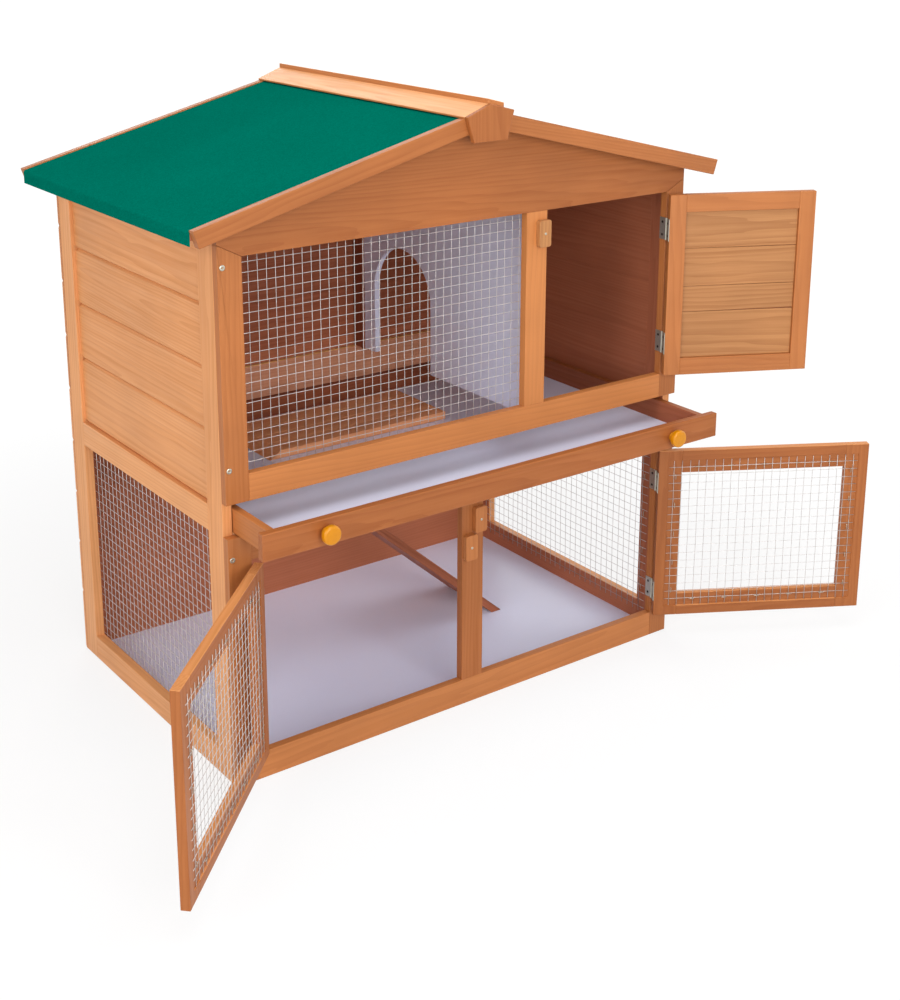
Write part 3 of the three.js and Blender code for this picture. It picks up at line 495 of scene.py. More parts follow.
# Their top faces are pale as a painted highlight along the top edges.
for node, along in {"back_rail": "x", "runner_left": "y", "runner_right": "y"}.items():
    straight(node + "_board", *corners(node), along, material=fir_brown, slot="shaded_fir",
             faced=((0, 0, 1), fir_top_highlight), soft=0.0012, stands_for=[node])

# A dark strip in the corner where the partition's rear edge meets the back boards, as painted shade in that
# corner.
SHADE_STRIP_WIDTH, SHADE_STRIP_THICKNESS, BELOW_ROOF = 0.033, 0.005, 0.004
low, high = corners("partition")
straight("partition_batten_board", (low[0] - SHADE_STRIP_THICKNESS, high[1] - SHADE_STRIP_WIDTH, low[2]),
         (low[0], high[1], high[2] - BELOW_ROOF), "z", material=fir_deep_and_shade, slot="shaded_fir", tone=0.95)
print("with the back", len(boards))

# %% [markdown]
# ## Roof boards
#
# Under the felt lie boards that run from front to back. The barge boards hide the ends of
# the roof, two boards cap the ridge, and a wedge-shaped block covers their front end.

# %% Roof boards
ALONG_SLOPE = math.hypot(1, SLOPE)  # length along the roof for each metre across it
DECK_DEPTH = 0.012 * ALONG_SLOPE  # depths of sloping boards, measured straight down
BARGE_DEPTH = 0.0266 * ALONG_SLOPE
BARGE_END_CUT = 0.0085  # how far in the foot of a barge board's end is cut

roof_low, roof_high = corners("roof_deck")
for side, sign in (("left", -1), ("right", 1)):
    for number, (near, far) in spans(*np.linspace(0, roof_high[0], 6)):
        outline = [(sign * x, roof_high[2] - depth - SLOPE * x)
                   for x, depth in ((near, DECK_DEPTH), (far, DECK_DEPTH), (far, 0), (near, 0))]
        stations = [(roof_low[1], outline[::sign]), (roof_high[1], outline[::sign])]
        board(f"roof_board_{side}_{number}", stations, "y", (0, 1, 0), material=fir_deep_and_shade,
              slot="shaded_fir", stands_for=["roof_deck"])

for place in ("front", "rear"):
    for side, sign in (("left", -1), ("right", 1)):
        node = f"barge_{place}_{side}"
        low, high = corners(node)
        tip = max(abs(low[0]), abs(high[0]))
        outline = [(sign * x, high[2] - depth - SLOPE * x) for x, depth in (
            (0.0, BARGE_DEPTH), (tip - BARGE_END_CUT, BARGE_DEPTH), (tip, 0), (0.0, 0),
        )]
        board(node + "_board", [(low[1], outline[::sign]), (high[1], outline[::sign])], "y",
              (1, 0, -sign * SLOPE), soft=0.0012, tone=0.6, stands_for=[node])
print("with the deck and barge boards", len(boards))

# %% Ridge boards and the block on their front end
STRIP_WIDTH, STRIP_HEIGHT = 0.031, 0.0075  # a strip on the right board, along the ridge
LEFT_EDGE, RIGHT_EDGE = 0.0028, 0.0078  # heights of the ridge boards' outer edges
BLOCK_FOOT = 0.0317  # half the width of the block's foot

left_low, left_high = corners("ridge_board_left")
right_low, right_high = corners("ridge_board_right")
half = left_high[0] - left_low[0]
base = left_low[2] + SLOPE * half
crown = left_high[2]
left_shoulder, right_shoulder = left_low[2] + LEFT_EDGE, right_low[2] + RIGHT_EDGE
left = [(-half, left_low[2]), (0.0, base), (0.0, crown), (-half, left_shoulder)]
fall = (crown - right_shoulder) * STRIP_WIDTH / half
right = [
    (0.0, base), (half, right_low[2]), (half, right_shoulder), (STRIP_WIDTH, crown - fall),
    (STRIP_WIDTH, crown - fall + STRIP_HEIGHT), (0.0, crown + STRIP_HEIGHT),
]
# The top faces get the paler finish as a painted highlight from the light above.
for side, outline in (("left", left), ("right", right)):
    board(f"ridge_{side}_board", [(left_low[1], outline), (left_high[1], outline)], "y", (0, 1, 0),
          tone=0.15, faced=((0, 0, 1), fir_side_and_highlight), stands_for=[f"ridge_board_{side}"])

low, high = corners("ridge_block")
block = [
    (-BLOCK_FOOT, low[2]), (BLOCK_FOOT, low[2]), (half, right_shoulder), (0.0, high[2]),
    (-half, left_shoulder),
]
board("ridge_block_board", [(low[1], block), (high[1], block)], "y", (0, 0, 1), soft=0.0012, tone=0.7,
      stands_for=["ridge_block"])
print("with the roof", len(boards))

# %% [markdown]
# ## Roofing felt
#
# Green mineral felt: a bitumen sheet with fine coloured grit rolled into it. It is dead
# matt, and its grit shows as a faint sparkle of lighter and darker specks. It bends over
# the eaves instead of folding, so its section follows an arc there.

# %% Green mineral felt
def mineral_felt():
    """Grit 0.7 mm across in a matt green binder, drawn 1.5 mm wide so that it shows, with slow
    waves where the sheet doesn't lie quite flat."""
    material, tree = new_material("roofing_felt_green")
    place = add(tree, "TexCoord").outputs["Object"]
    grit = add(tree, "TexVoronoi", {"Vector": place, "Scale": 1 / 0.0015}, feature="F1")
    specks = add(tree, "SeparateColor", {0: grit.outputs["Color"]})
    cloud = add(tree, "TexNoise", {"Vector": place, "Scale": 5.0, "Detail": 3.0})
    tone = add(tree, "MapRange", {"Value": specks.outputs[0], "To Min": 0.25, "To Max": 0.75})
    tone = add(tree, "Math", {
        0: cloud.outputs["Fac"], 1: 0.35, 2: tone.outputs[0],
    }, operation="MULTIPLY_ADD")
    colour = add(tree, "Mix", {
        0: tone.outputs[0], 6: linear("#005243"), 7: linear("#007361"),
    }, data_type="RGBA")
    fine = add(tree, "Bump", {"Height": grit.outputs["Distance"], "Strength": 0.35, "Distance": 0.0004})
    wave = add(tree, "Bump", {
        "Height": cloud.outputs["Fac"], "Strength": 0.4, "Distance": 0.004, "Normal": fine.outputs[0],
    })
    finish_with(tree, add(tree, "BsdfPrincipled", {
        "Base Color": colour.outputs[2], "Roughness": 0.92, "Specular IOR Level": 0.0,
        "Normal": wave.outputs[0],
    }))
    return material


felt = mineral_felt()
print("felt", felt.name)

# %% Roof felt sheet
FELT_THICKNESS = 0.0015
FELT_BEND = 0.004  # radius of the sheet's middle over the eaves
RIDGE_FLAT = 0.004  # half the width of the flat where the sheet turns over the ridge

low, high = corners("roof_felt")
edge = high[0] - FELT_THICKNESS / 2
top = high[2] - FELT_THICKNESS / 2 * ALONG_SLOPE
turn = math.atan(SLOPE)
arc = np.linspace(0, math.pi / 2 - turn, 7)
centre = np.array([edge - FELT_BEND, top - SLOPE * (edge - FELT_BEND) - FELT_BEND * ALONG_SLOPE])
bent = centre + FELT_BEND * np.stack([np.sin(turn + arc), np.cos(turn + arc)], axis=1)
right_line = np.concatenate([[(edge, low[2])], bent[::-1]])
ridge = [(sign * RIDGE_FLAT, top - SLOPE * RIDGE_FLAT) for sign in (1, -1)]
line = np.concatenate([right_line, ridge, right_line[::-1] * (-1, 1)])
step = np.gradient(line, axis=0)
step /= np.linalg.norm(step, axis=1, keepdims=True)
out = np.stack([step[:, 1], -step[:, 0]], axis=1) * FELT_THICKNESS / 2
section = np.concatenate([line + out, (line - out)[::-1]])
rings = np.empty((2, len(section), 3))
rings[..., 0], rings[..., 2] = section.T
rings[..., 1] = np.array([low[1], high[1]])[:, None]
ride_as(shell("roof_felt_sheet", rings, turned_out=False), "hutch", felt, "green_felt", ["roof_felt"])
print("felt section points", len(section))

# %% [markdown]
# ## Doors
#
# A door is built closed, beside its pin, and then turned about the pin by its rest angle.
# The pin and the angle come from the joints of the frame, so the boards land on their
# hinges. The mesh doors have a shallow step all round the inner face, where the mesh lies.

# %% Hanging a door
FROM_PIN = 0.0014  # from the pin to the door's hinge edge
FACE = (0.0019, 0.0159)  # from the pin back to the door's front face and its inner one
THICK = FACE[1] - FACE[0]
doors = {}
for name in ("upper_door", "left_door", "right_door"):
    joint = next(j for j in frame["joints"] if j["name"] == name + "_hinge")
    closed = max(joint["range_deg"], key=abs)
    doors[name] = {
        "pin": np.array(joint["pos_m"][:2]), "turn": math.radians(-closed),
        "toward": 1 if closed > 0 else -1,
    }
print({name: round(math.degrees(door["turn"]), 1) for name, door in doors.items()})


def hang(name):
    """The move from a closed door's own coordinates, x from the hinge edge and y from the
    front, to its rest place: turn about the pin, then shift to it."""
    door = doors[name]
    cosine, sine = math.cos(door["turn"]), math.sin(door["turn"])

    def move(points):
        x = door["toward"] * (FROM_PIN + points[..., 0])
        y = points[..., 1] + FACE[0]
        return np.stack([
            door["pin"][0] + x * cosine - y * sine, door["pin"][1] + x * sine + y * cosine, points[..., 2],
        ], axis=-1)
    return move


def turn_out(made, door):
    """A door hinged on the right is a mirror image, so its faces are turned round."""
    if doors[door]["toward"] < 0:
        made.data.flip_normals()


def door_board(door, part, outlines, carried, **details):
    """A board in the closed door's own coordinates, its fibres along the axis `carried`."""
    grain = {"x": (1, 0, 0), "z": (0, 0, 1)}[carried]
    made = board(f"{door}_{part}", outlines, carried, grain, body=door, move=hang(door), **details)
    turn_out(made, door)


# %% Mesh doors: stiles and rails with a step for the mesh
FRAME, STEP, SUNK = 0.042, 0.018, 0.0018  # widths of stiles and of the step, and its depth
RISER = 0.0001  # the step's riser leans by this much, which keeps its two corners apart
DOOR_PLAY = 0.005  # gaps at both edges of a closed door, together
door_width = (corners("lower_middle_stile")[0][0] - corners("lower_left_stile")[1][0]) - DOOR_PLAY

for name in ("left_door", "right_door"):
    low, high = corners(name + "_frame")
    bottom, top = low[2], high[2]
    # The full section has the step's corner too, so that both have six points.
    full, stepped = (
        [(0, 0), (FRAME, 0), (FRAME, THICK - sunk), (STEP + riser, THICK - sunk), (STEP, THICK), (0, THICK)]
        for sunk, riser in ((0, 0.004), (SUNK, RISER))
    )
    levels = [
        (bottom, full), (bottom + STEP, full), (bottom + STEP, stepped),
        (top - STEP, stepped), (top - STEP, full), (top, full),
    ]
    # Upward faces get the paler finish as a painted highlight from the light above. They are picked
    # before a mirrored door's faces are turned round, so there they are the ones that look down.
    usual = {"tone": 0.75, "faced": ((0, 0, doors[name]["toward"]), fir_side_and_highlight)}
    door_board(name, "hinge_stile", levels, "z", stands_for=[name + "_frame"], **usual)
    mirrored = [(z, [(door_width - x, y) for x, y in outline][::-1]) for z, outline in levels]
    door_board(name, "latch_stile", mirrored, "z", **usual)
    rail = [
        (0, 0), (THICK, 0), (THICK, STEP), (THICK - SUNK, STEP + RISER), (THICK - SUNK, FRAME), (0, FRAME),
    ]
    low_rail = [(y, bottom + z) for y, z in rail]
    high_rail = [(y, top - z) for y, z in rail][::-1]
    for part, outline in (("bottom_rail", low_rail), ("top_rail", high_rail)):
        door_board(name, part, [(FRAME, outline), (door_width - FRAME, outline)], "x", **usual)
print("mesh doors", round(door_width, 4), "wide")

# %% Upper door: frame, boards and the boards' tongues
STILE, RAIL = 0.029, 0.030  # widths
PANEL_JOINTS = (0.0825, 0.1282, 0.195)  # heights above the bottom rail
SHRUNK = (0.0, 0.0016, 0.0007, 0.0010, 0.0)  # widths of the joints at the latch side
BOARD_THICKNESS = 0.006
inner = THICK - 0.005  # the boards' inner face
tongue = (inner - 0.004, inner - 0.0025)  # faces of the tongues

width = corners("upper_right_stile")[0][0] - corners("upper_middle_stile")[1][0] - DOOR_PLAY
low, high = corners("upper_door_frame")
bottom, top = low[2], high[2]
usual = {"tone": 0.45, "stands_for": ["upper_door_frame"]}
for part, x0, x1 in (("hinge_stile", 0, STILE), ("latch_stile", width - STILE, width)):
    outline = [(x0, 0), (x1, 0), (x1, THICK), (x0, THICK)]
    door_board("upper_door", part, [(bottom, outline), (top, outline)], "z", **usual)
for part, z0 in (("bottom_rail", bottom), ("top_rail", top - RAIL)):
    outline = [(0, z0), (THICK, z0), (THICK, z0 + RAIL), (0, z0 + RAIL)]
    door_board("upper_door", part, [(STILE, outline), (width - STILE, outline)], "x", **usual)

panel = (bottom + RAIL, top - RAIL)
joints = spans(panel[0], *(panel[0] + height for height in PANEL_JOINTS), panel[1])
for (number, (z0, z1)), below, above in zip(joints, SHRUNK[:-1], SHRUNK[1:]):
    tight, shrunk = (
        [(inner - BOARD_THICKNESS, z0 + share * below), (inner, z0 + share * below),
         (inner, z1 - share * above / 3), (inner - BOARD_THICKNESS, z1 - share * above / 3)]
        for share in (0.1, 0.7)
    )
    door_board("upper_door", f"board_{number}", [(STILE, tight), (width - STILE, shrunk)], "x",
               soft=0.0011, material=fir_panel, stands_for=["upper_door_boards"])
# The tongues are one dark strip, since only their edges show, in the joints.
outline = [(tongue[0], panel[0]), (tongue[1], panel[0]), (tongue[1], panel[1]), (tongue[0], panel[1])]
door_board("upper_door", "tongues", [(STILE, outline), (width - STILE, outline)], "x",
           soft=0.0003, material=fir_deep_and_shade, tone=1.0)
print("with the doors", len(boards))

# %% [markdown]
# ## Tray, lid and ramp
#
# The tray's front is a stained board with two turned knobs. Behind it stand three thinner
# walls round a white melamine base. The lid over the hatch and the ramp under it are made
# of narrow boards nailed side by side.

# %% Tray boards
WALL = 0.012
straight("tray_front_board", *corners("tray_front"), "x", body="tray", soft=0.0015, tone=0.75,
         stands_for=["tray_front"])
low, high = corners("tray_walls")
# The walls' inner faces get the red-brown finish as painted shade inside the tray.
for part, x0, x1, inward, tone in (
    ("left", low[0], low[0] + WALL, 1, 0.4), ("right", high[0] - WALL, high[0], -1, 0.85),
):
    straight(f"tray_{part}_wall", (x0, low[1], low[2]), (x1, high[1], high[2]), "y", body="tray",
             tone=tone, slot="shaded_fir", faced=((inward, 0, 0), fir_deep_and_shade), stands_for=["tray_walls"])
# The rear wall is red-brown and deep in tone, as painted shade in the recess under the back rail.
straight("tray_rear_wall", (low[0] + WALL, high[1] - WALL, low[2]), (high[0] - WALL, high[1], high[2]), "x",
         body="tray", material=fir_deep_and_shade, slot="shaded_fir", tone=0.9)
print("with the tray", len(boards))

# %% Hatch lid: four boards with a bevelled end
LID_BEVEL = 0.022
low, high = corners("hatch_lid")
outline = [(low[0], low[2]), (high[0], low[2]), (high[0], high[2]), (low[0] + LID_BEVEL, high[2])]
# The lid is lighter than the brown rail, as painted light on its top.
for number, (y0, y1) in spans(*np.linspace(low[1], high[1], 5)):
    board(f"hatch_lid_board_{number}", [(y0, outline), (y1, outline)], "y", (1, 0, 0), body="hatch_lid",
          soft=0.0012, material=fir_lid_lit, slot="shaded_fir", stands_for=["hatch_lid"])
print("with the lid", len(boards))

# %% Ramp: two boards
RAMP_SLOPE = 0.88
low, high = corners("ramp")
thickness = (high[0] - low[0]) - (high[2] - low[2]) / RAMP_SLOPE  # measured level
outline = [
    (high[0] - thickness, low[2]), (high[0], low[2]), (low[0] + thickness, high[2]), (low[0], high[2]),
]
for number, (y0, y1) in spans(*np.linspace(low[1], high[1], 3)):
    board(f"ramp_board_{number}", [(y0, outline), (y1, outline)], "y", (1, 0, -RAMP_SLOPE), body="ramp",
          tone=0.75, material=fir_deep_and_shade, slot="shaded_fir", stands_for=["ramp"])
print("boards in all", len(boards))

# %% [markdown]
# ## Welded wire mesh
#
# The mesh is thin galvanised wire, welded where it crosses every 15 mm. The CAD model has
# only every fifth wire, so here each panel gets all of them. A wire is never quite straight
# once the mesh is cut and stapled, so each one wanders by a few tenths of a millimetre.

# %% Galvanised wire
def galvanised(name, colour, roughness, scale):
    """Zinc-dipped or zinc-plated steel: bright grey, with soft cloudy spots about 1/scale
    metres wide. It is a metal, so the IOR stays as it is."""
    material, tree = new_material(name)
    place = add(tree, "TexCoord").outputs["Object"]
    spangle = add(tree, "TexNoise", {"Vector": place, "Scale": scale, "Detail": 2.0})
    tone = add(tree, "MapRange", {
        "Value": spangle.outputs["Fac"], "From Min": 0.3, "From Max": 0.7, "To Min": 0.85, "To Max": 1.08,
    })
    toned = add(tree, "HueSaturation", {"Value": tone.outputs[0], "Color": linear(colour)})
    rough = add(tree, "MapRange", {
        "Value": spangle.outputs["Fac"], "To Min": roughness - 0.08, "To Max": roughness + 0.08,
    })
    finish_with(tree, add(tree, "BsdfPrincipled", {
        "Base Color": toned.outputs[0], "Metallic": 0.85, "Roughness": rough.outputs[0],
    }))
    return material


wire_zinc = galvanised("steel_wire_galvanised", "#cdc9c6", 0.5, 120.0)
plate_zinc = galvanised("steel_zinc_plated", "#b9b6a8", 0.35, 400.0)
# Near-black steel for the hinges' screws, as painted shade of their recesses.
recess_shade_steel = galvanised("steel_black_oxide", "#2e2b28", 0.5, 400.0)
print("steels", [m.name for m in (wire_zinc, plate_zinc, recess_shade_steel)])

# %% Wires as tubes
PITCH, RADIUS, SIDES = 0.015, 0.00045, 6
PATH_STEP = 0.03  # between the points of a wire's path
around_wire = np.linspace(0, 2 * math.pi, SIDES, endpoint=False)


def wire_family(start, end, travel, up, out, bulge):
    """Tubes from W start points to W end points, over `travel` points each. A point is
    start + t (end - start), plus a wander of two slow sines along `up` and a bulge of
    sin(pi t) along `out`, with a six-sided ring of RADIUS round it."""
    t = np.linspace(0, 1, travel)[None, :, None]
    paths = start[:, None] + t * (end - start)[:, None]
    phase = seeds.uniform(0, 2 * math.pi, (len(start), 1, 2))
    run = t[..., 0]
    wander = 0.0003 * np.sin(9 * run + phase[..., 0]) + 0.0002 * np.sin(31 * run + phase[..., 1])
    held = np.sin(math.pi * run)
    paths = paths + (wander * held)[..., None] * up + (bulge[:, None] * held)[..., None] * out
    ring = RADIUS * (np.cos(around_wire)[:, None] * up + np.sin(around_wire)[:, None] * out)
    return paths[:, :, None] + ring


def tube_mesh(name, families, turned_out=True):
    """One mesh from several families of tubes, each W x T x SIDES points, with every tube's
    ends closed."""
    points, walls, caps, used = [], [], [], 0
    for tubes in families:
        count, travel, sides = tubes.shape[:3]
        index = used + np.arange(count * travel * sides).reshape(count, travel, sides)
        beside = np.roll(index, -1, axis=2)
        wall = np.stack([index[:, :-1], beside[:, :-1], beside[:, 1:], index[:, 1:]], axis=-1)
        walls.append(wall.reshape(-1, 4))
        caps += index[:, 0, ::-1].tolist() + index[:, -1].tolist()
        points.append(tubes.reshape(-1, 3))
        used += count * travel * sides
    faces = np.concatenate(walls).tolist() + caps
    return surface(name, np.concatenate(points), faces, turned_out, smooth=True)


def wire_panel(name, body, corner, across, up, size, stands_for, bulge=0.0, move=None):
    """Wires both ways over a rectangle of `size` from `corner`. The upright ones lie behind
    the level ones, so that they touch where they cross."""
    corner, across, up = (np.array(v, float) for v in (corner, across, up))
    out = np.cross(across, up)
    families = []
    for along, beside, length, breadth, layer in (
        (across, up, size[0], size[1], 0.9 * RADIUS), (up, across, size[1], size[0], -0.9 * RADIUS),
    ):
        count = int(breadth / PITCH)
        margin = (breadth - (count - 1) * PITCH) / 2
        offsets = margin + PITCH * np.arange(count) + seeds.normal(0, 0.0002, count)
        start = corner + offsets[:, None] * beside + layer * out
        sag = bulge * np.sin(math.pi * offsets / breadth)
        end, travel = start + length * along, int(length / PATH_STEP)
        families.append(wire_family(start, end, travel, np.cross(out, along), out, sag))
    made = tube_mesh(name, families)
    if move is not None:
        points = np.empty(len(made.data.vertices) * 3)
        made.data.vertices.foreach_get("co", points)
        made.data.vertices.foreach_set("co", move(points.reshape(-1, 3)).ravel())
    print(name, len(made.data.polygons), "faces")
    return ride_as(made, body, wire_zinc, "zinc_wire", [stands_for])


# %% Wire panels
# They are stapled to the inner faces of their frames, so they reach past the openings.
WINDOW_LAP, SIDE_LAP = 0.012, 0.020
FROM_STEP, BELOW_RUNNER = 0.001, 0.0005  # clearances
low, high = corners("window_mesh")
wire_panel("window_wire_mesh", "hutch",
           (low[0] - WINDOW_LAP, gable_high[1] + 2 * RADIUS, low[2] - WINDOW_LAP), (1, 0, 0), (0, 0, 1),
           (high[0] - low[0] + 2 * WINDOW_LAP, high[2] - low[2] + 2 * WINDOW_LAP), "window_mesh",
           bulge=-0.0012)
ceiling = corners("runner_left")[0][2] - BELOW_RUNNER
for side, out in (("left", -1), ("right", 1)):
    low, high = corners(f"side_{side}_mesh")
    wall = out * corners("side_right_frame")[0][0] - out * 2 * RADIUS
    start = (wall, high[1] + SIDE_LAP if out < 0 else low[1] - SIDE_LAP, low[2] - SIDE_LAP)
    size = (high[1] - low[1] + 2 * SIDE_LAP, ceiling - low[2] + SIDE_LAP)
    wire_panel(f"side_{side}_wire_mesh", "hutch", start, (0, out, 0), (0, 0, 1), size, f"side_{side}_mesh",
               bulge=-0.0015)
for name in ("left_door", "right_door"):
    low, high = corners(name + "_mesh")
    margin = STEP + FROM_STEP
    size = (door_width - 2 * margin, high[2] - low[2])
    made = wire_panel(f"{name}_wire_mesh", name, (margin, THICK - 2 * RADIUS, low[2]), (1, 0, 0), (0, 0, 1),
                      size, name + "_mesh", move=hang(name))
    turn_out(made, name)

# %% [markdown]
# ## Staples
#
# The mesh is held by staples, each over one wire. A staple is a U of round wire, so it is
# the same kind of tube as the mesh wires, on a path that goes up, over and down.

# %% Staples that hold the mesh
STAPLE_RADIUS = 0.0005
# Along the crown and out of the wood, from one sunk leg over the crown to the other.
STAPLE_PATH = np.array([
    (-4.5, -1.0), (-4.5, 0.4), (-3.9, 1.0), (3.9, 1.0), (4.5, 0.4), (4.5, -1.0),
]) / 1000


def staples(name, body, places, along, out, move=None):
    """Tubes on U-shaped paths: a point is place + s along + h out, with (s, h) running over
    STAPLE_PATH. The ring lies in the plane of `side` and of the path's own normal."""
    places, along, out = (np.array(v, float) for v in (places, along, out))
    side = np.cross(along, out)
    s, h = STAPLE_PATH.T
    paths = places[:, None] + s[:, None] * along + h[:, None] * out
    travel = np.gradient(STAPLE_PATH, axis=0)
    travel /= np.linalg.norm(travel, axis=1, keepdims=True)
    normal = travel[:, :1] * out - travel[:, 1:] * along
    cosine, sine = np.cos(around_wire)[None, :, None], np.sin(around_wire)[None, :, None]
    tubes = paths[:, :, None] + STAPLE_RADIUS * (cosine * side + sine * normal[:, None])
    made = tube_mesh(name, [tubes if move is None else move(tubes)], turned_out=False)
    return ride_as(made, body, plate_zinc, "zinc_steel")


FROM_CORNER = 0.030  # from a mesh's corner to the first staple of a row
# On a door: from its edge to the row on a stile, from the mesh's edge to the row on a rail,
# and from the door's edge to the first staple of that row.
ON_STILE, ON_RAIL, FROM_EDGE = 0.031, 0.0115, 0.07
for name in ("left_door", "right_door"):
    low, high = corners(name + "_mesh")
    face = THICK - 0.0004
    heights = np.linspace(low[2] + FROM_CORNER, high[2] - FROM_CORNER, 5)
    lengths = np.linspace(FROM_EDGE, door_width - FROM_EDGE, 5)
    uprights = [(x, face, z) for x in (ON_STILE, door_width - ON_STILE) for z in heights]
    levels = [(x, face, z) for z in (low[2] + ON_RAIL, high[2] - ON_RAIL) for x in lengths]
    for part, places, along in (("upright", uprights, (0, 0, 1)), ("level", levels, (1, 0, 0))):
        made = staples(f"{name}_{part}_staples", name, places, along, (0, 1, 0), move=hang(name))
        turn_out(made, name)

ONTO_FRAME, FROM_TOP = 0.011, 0.04  # past the opening's edge, and below its top
for side, inward in (("left", 1), ("right", -1)):
    low, high = corners(f"side_{side}_mesh")
    wall = inward * (corners("side_left_frame")[1][0] + 0.0006)
    lengths = np.linspace(low[1] + FROM_CORNER, high[1] - FROM_CORNER, 7)
    heights = np.linspace(low[2] + FROM_CORNER, high[2] - FROM_TOP, 5)
    levels = [(wall, y, low[2] - ONTO_FRAME) for y in lengths]
    uprights = [(wall, y, z) for y in (low[1] - ONTO_FRAME, high[1] + ONTO_FRAME) for z in heights]
    staples(f"side_{side}_level_staples", "hutch", levels, (0, 1, 0), (inward, 0, 0))
    staples(f"side_{side}_upright_staples", "hutch", uprights, (0, 0, 1), (inward, 0, 0))

# %% [markdown]
# ## Turned knobs, turn buttons and screws
#
# The knobs are beech, turned on a lathe and painted yellow. The turn buttons are small
# blocks with rounded corners that swing on one screw each. Their screws are zinc plated,
# with a cross recess pressed into a slightly domed head. The hinges have small near-black
# ones, whose dark steel is painted shade of their recesses.

# %% Gloss yellow paint
def gloss_paint():
    """Thick yellow gloss on wood: smooth and wet looking, with a slow unevenness from the
    brush about 4 mm wide."""
    material, tree = new_material("paint_gloss_yellow")
    place = add(tree, "TexCoord").outputs["Object"]
    flow = add(tree, "TexNoise", {"Vector": place, "Scale": 1 / 0.004, "Detail": 1.0})
    colour = add(tree, "Mix", {
        0: flow.outputs["Fac"], 6: linear("#c27a00"), 7: linear("#ce8600"),
    }, data_type="RGBA")
    bump = add(tree, "Bump", {"Height": flow.outputs["Fac"], "Strength": 0.2, "Distance": 0.0004})
    finish_with(tree, add(tree, "BsdfPrincipled", {
        "Base Color": colour.outputs[2], "Roughness": 0.3, "Normal": bump.outputs[0], "IOR": 1.5,
        "Specular IOR Level": 0.3, "Coat Weight": 0.1, "Coat Roughness": 0.1,
    }))
    return material


yellow = gloss_paint()
print("paint", yellow.name)

# %% Turned and pressed round pieces
def round_piece(name, centre, facing, profile, lobes=None, around=48):
    """Surface of revolution: for angle a and profile point (radius, height), the point is
    centre + radius (cos a u + sin a v) + height facing. `lobes` shrinks the radius between
    four arms by the same share as (1 - |cos 2a|), for a cross recess."""
    facing = np.asarray(facing, float) / np.linalg.norm(facing)
    u = np.cross(facing, (0, 0, 1) if abs(facing[2]) < 0.9 else (1, 0, 0))
    u /= np.linalg.norm(u)
    v = np.cross(facing, u)
    angle = np.linspace(0, 2 * math.pi, around, endpoint=False)
    radius, height = np.array(profile, float).T
    share = np.zeros(len(radius)) if lobes is None else np.array(lobes, float)
    radius = radius[:, None] * (1 - share[:, None] * (1 - np.abs(np.cos(2 * angle))))
    ring = np.cos(angle)[:, None] * u + np.sin(angle)[:, None] * v
    rings = np.asarray(centre, float) + radius[..., None] * ring + height[:, None, None] * facing
    return shell(name, rings, smooth=True)


def screw(name, centre, facing, body, radius):
    """A domed countersunk head with a cross recess."""
    r = radius
    profile = [
        (r, -0.0006), (r, 0.0002), (0.92 * r, 0.0005), (0.62 * r, 0.0008), (0.58 * r, 0.0007),
        (0.42 * r, -0.0004), (0.05 * r, -0.0005),
    ]
    lobes = [0, 0, 0, 0.75, 0.8, 0.8, 0]
    made = round_piece(name, centre, facing, profile, lobes, around=24)
    return ride_as(made, body, plate_zinc, "zinc_steel")


# %% Knobs
RIM_ROUND = 0.004  # radius of the knob's front edge
# The stem from the tray front outwards, as radius and height.
STEM = [(0.0082, 0), (0.0078, 0.001), (0.0071, 0.003), (0.0072, 0.0052), (0.0090, 0.0068)]
quarter = np.linspace(0, math.pi / 2, 8)
for side in ("left", "right"):
    low, high = corners(f"tray_knob_{side}")
    x, z = (low[0] + high[0]) / 2, (low[2] + high[2]) / 2
    r, length = (high[2] - low[2]) / 2 - 0.00002, high[1] - low[1]
    # The head swells from the stem, turns over its rounded edge and ends nearly flat.
    swell = [(r - 0.0035, 0.0078), (r - 0.0012, 0.0088), (r - 0.0002, 0.0104)]
    rim = [(r - RIM_ROUND + RIM_ROUND * math.cos(a), length - 0.0045 + RIM_ROUND * math.sin(a))
           for a in quarter]
    front_face = [(r - 0.0065, length - 0.0001), (0.0040, length), (0.0005, length)]
    made = round_piece(f"tray_knob_{side}_turned", (x, high[1], z), (0, -1, 0),
                       STEM + swell + rim + front_face, around=64)
    ride_as(made, "tray", yellow, "yellow_paint", [f"tray_knob_{side}"])
    print(made.name, len(made.data.polygons), "faces")

# %% Turn buttons
CORNER_ROUND = 0.004
QUARTER_TURN = np.array([[0, 1], [-1, 0]])
angle = np.linspace(0, math.pi / 2, 5)
arc = CORNER_ROUND * np.stack([np.cos(angle), np.sin(angle)], axis=1)
for name, wood in (("upper", fir_panel), ("right", fir), ("left", fir)):
    node = f"{name}_turn_button"
    low, high = corners(node)
    centre, half = (low + high) / 2, (high - low) / 2 - CORNER_ROUND
    outline = []
    for turns, (sx, sz) in enumerate(((1, 1), (-1, 1), (-1, -1), (1, -1))):
        turned = arc @ np.linalg.matrix_power(QUARTER_TURN, turns)
        outline += (turned + (centre[0] + sx * half[0], centre[2] + sz * half[2])).tolist()
    board(f"{node}_block", [(low[1], outline), (high[1], outline)], "y", (0, 0, 1), body=node,
          material=wood, tone=0.4, soft=0.00045, stands_for=[node])
    screw(f"{node}_screw", (centre[0], low[1], centre[2]), (0, -1, 0), node, radius=0.0022)
print("with the turn buttons", len(boards))

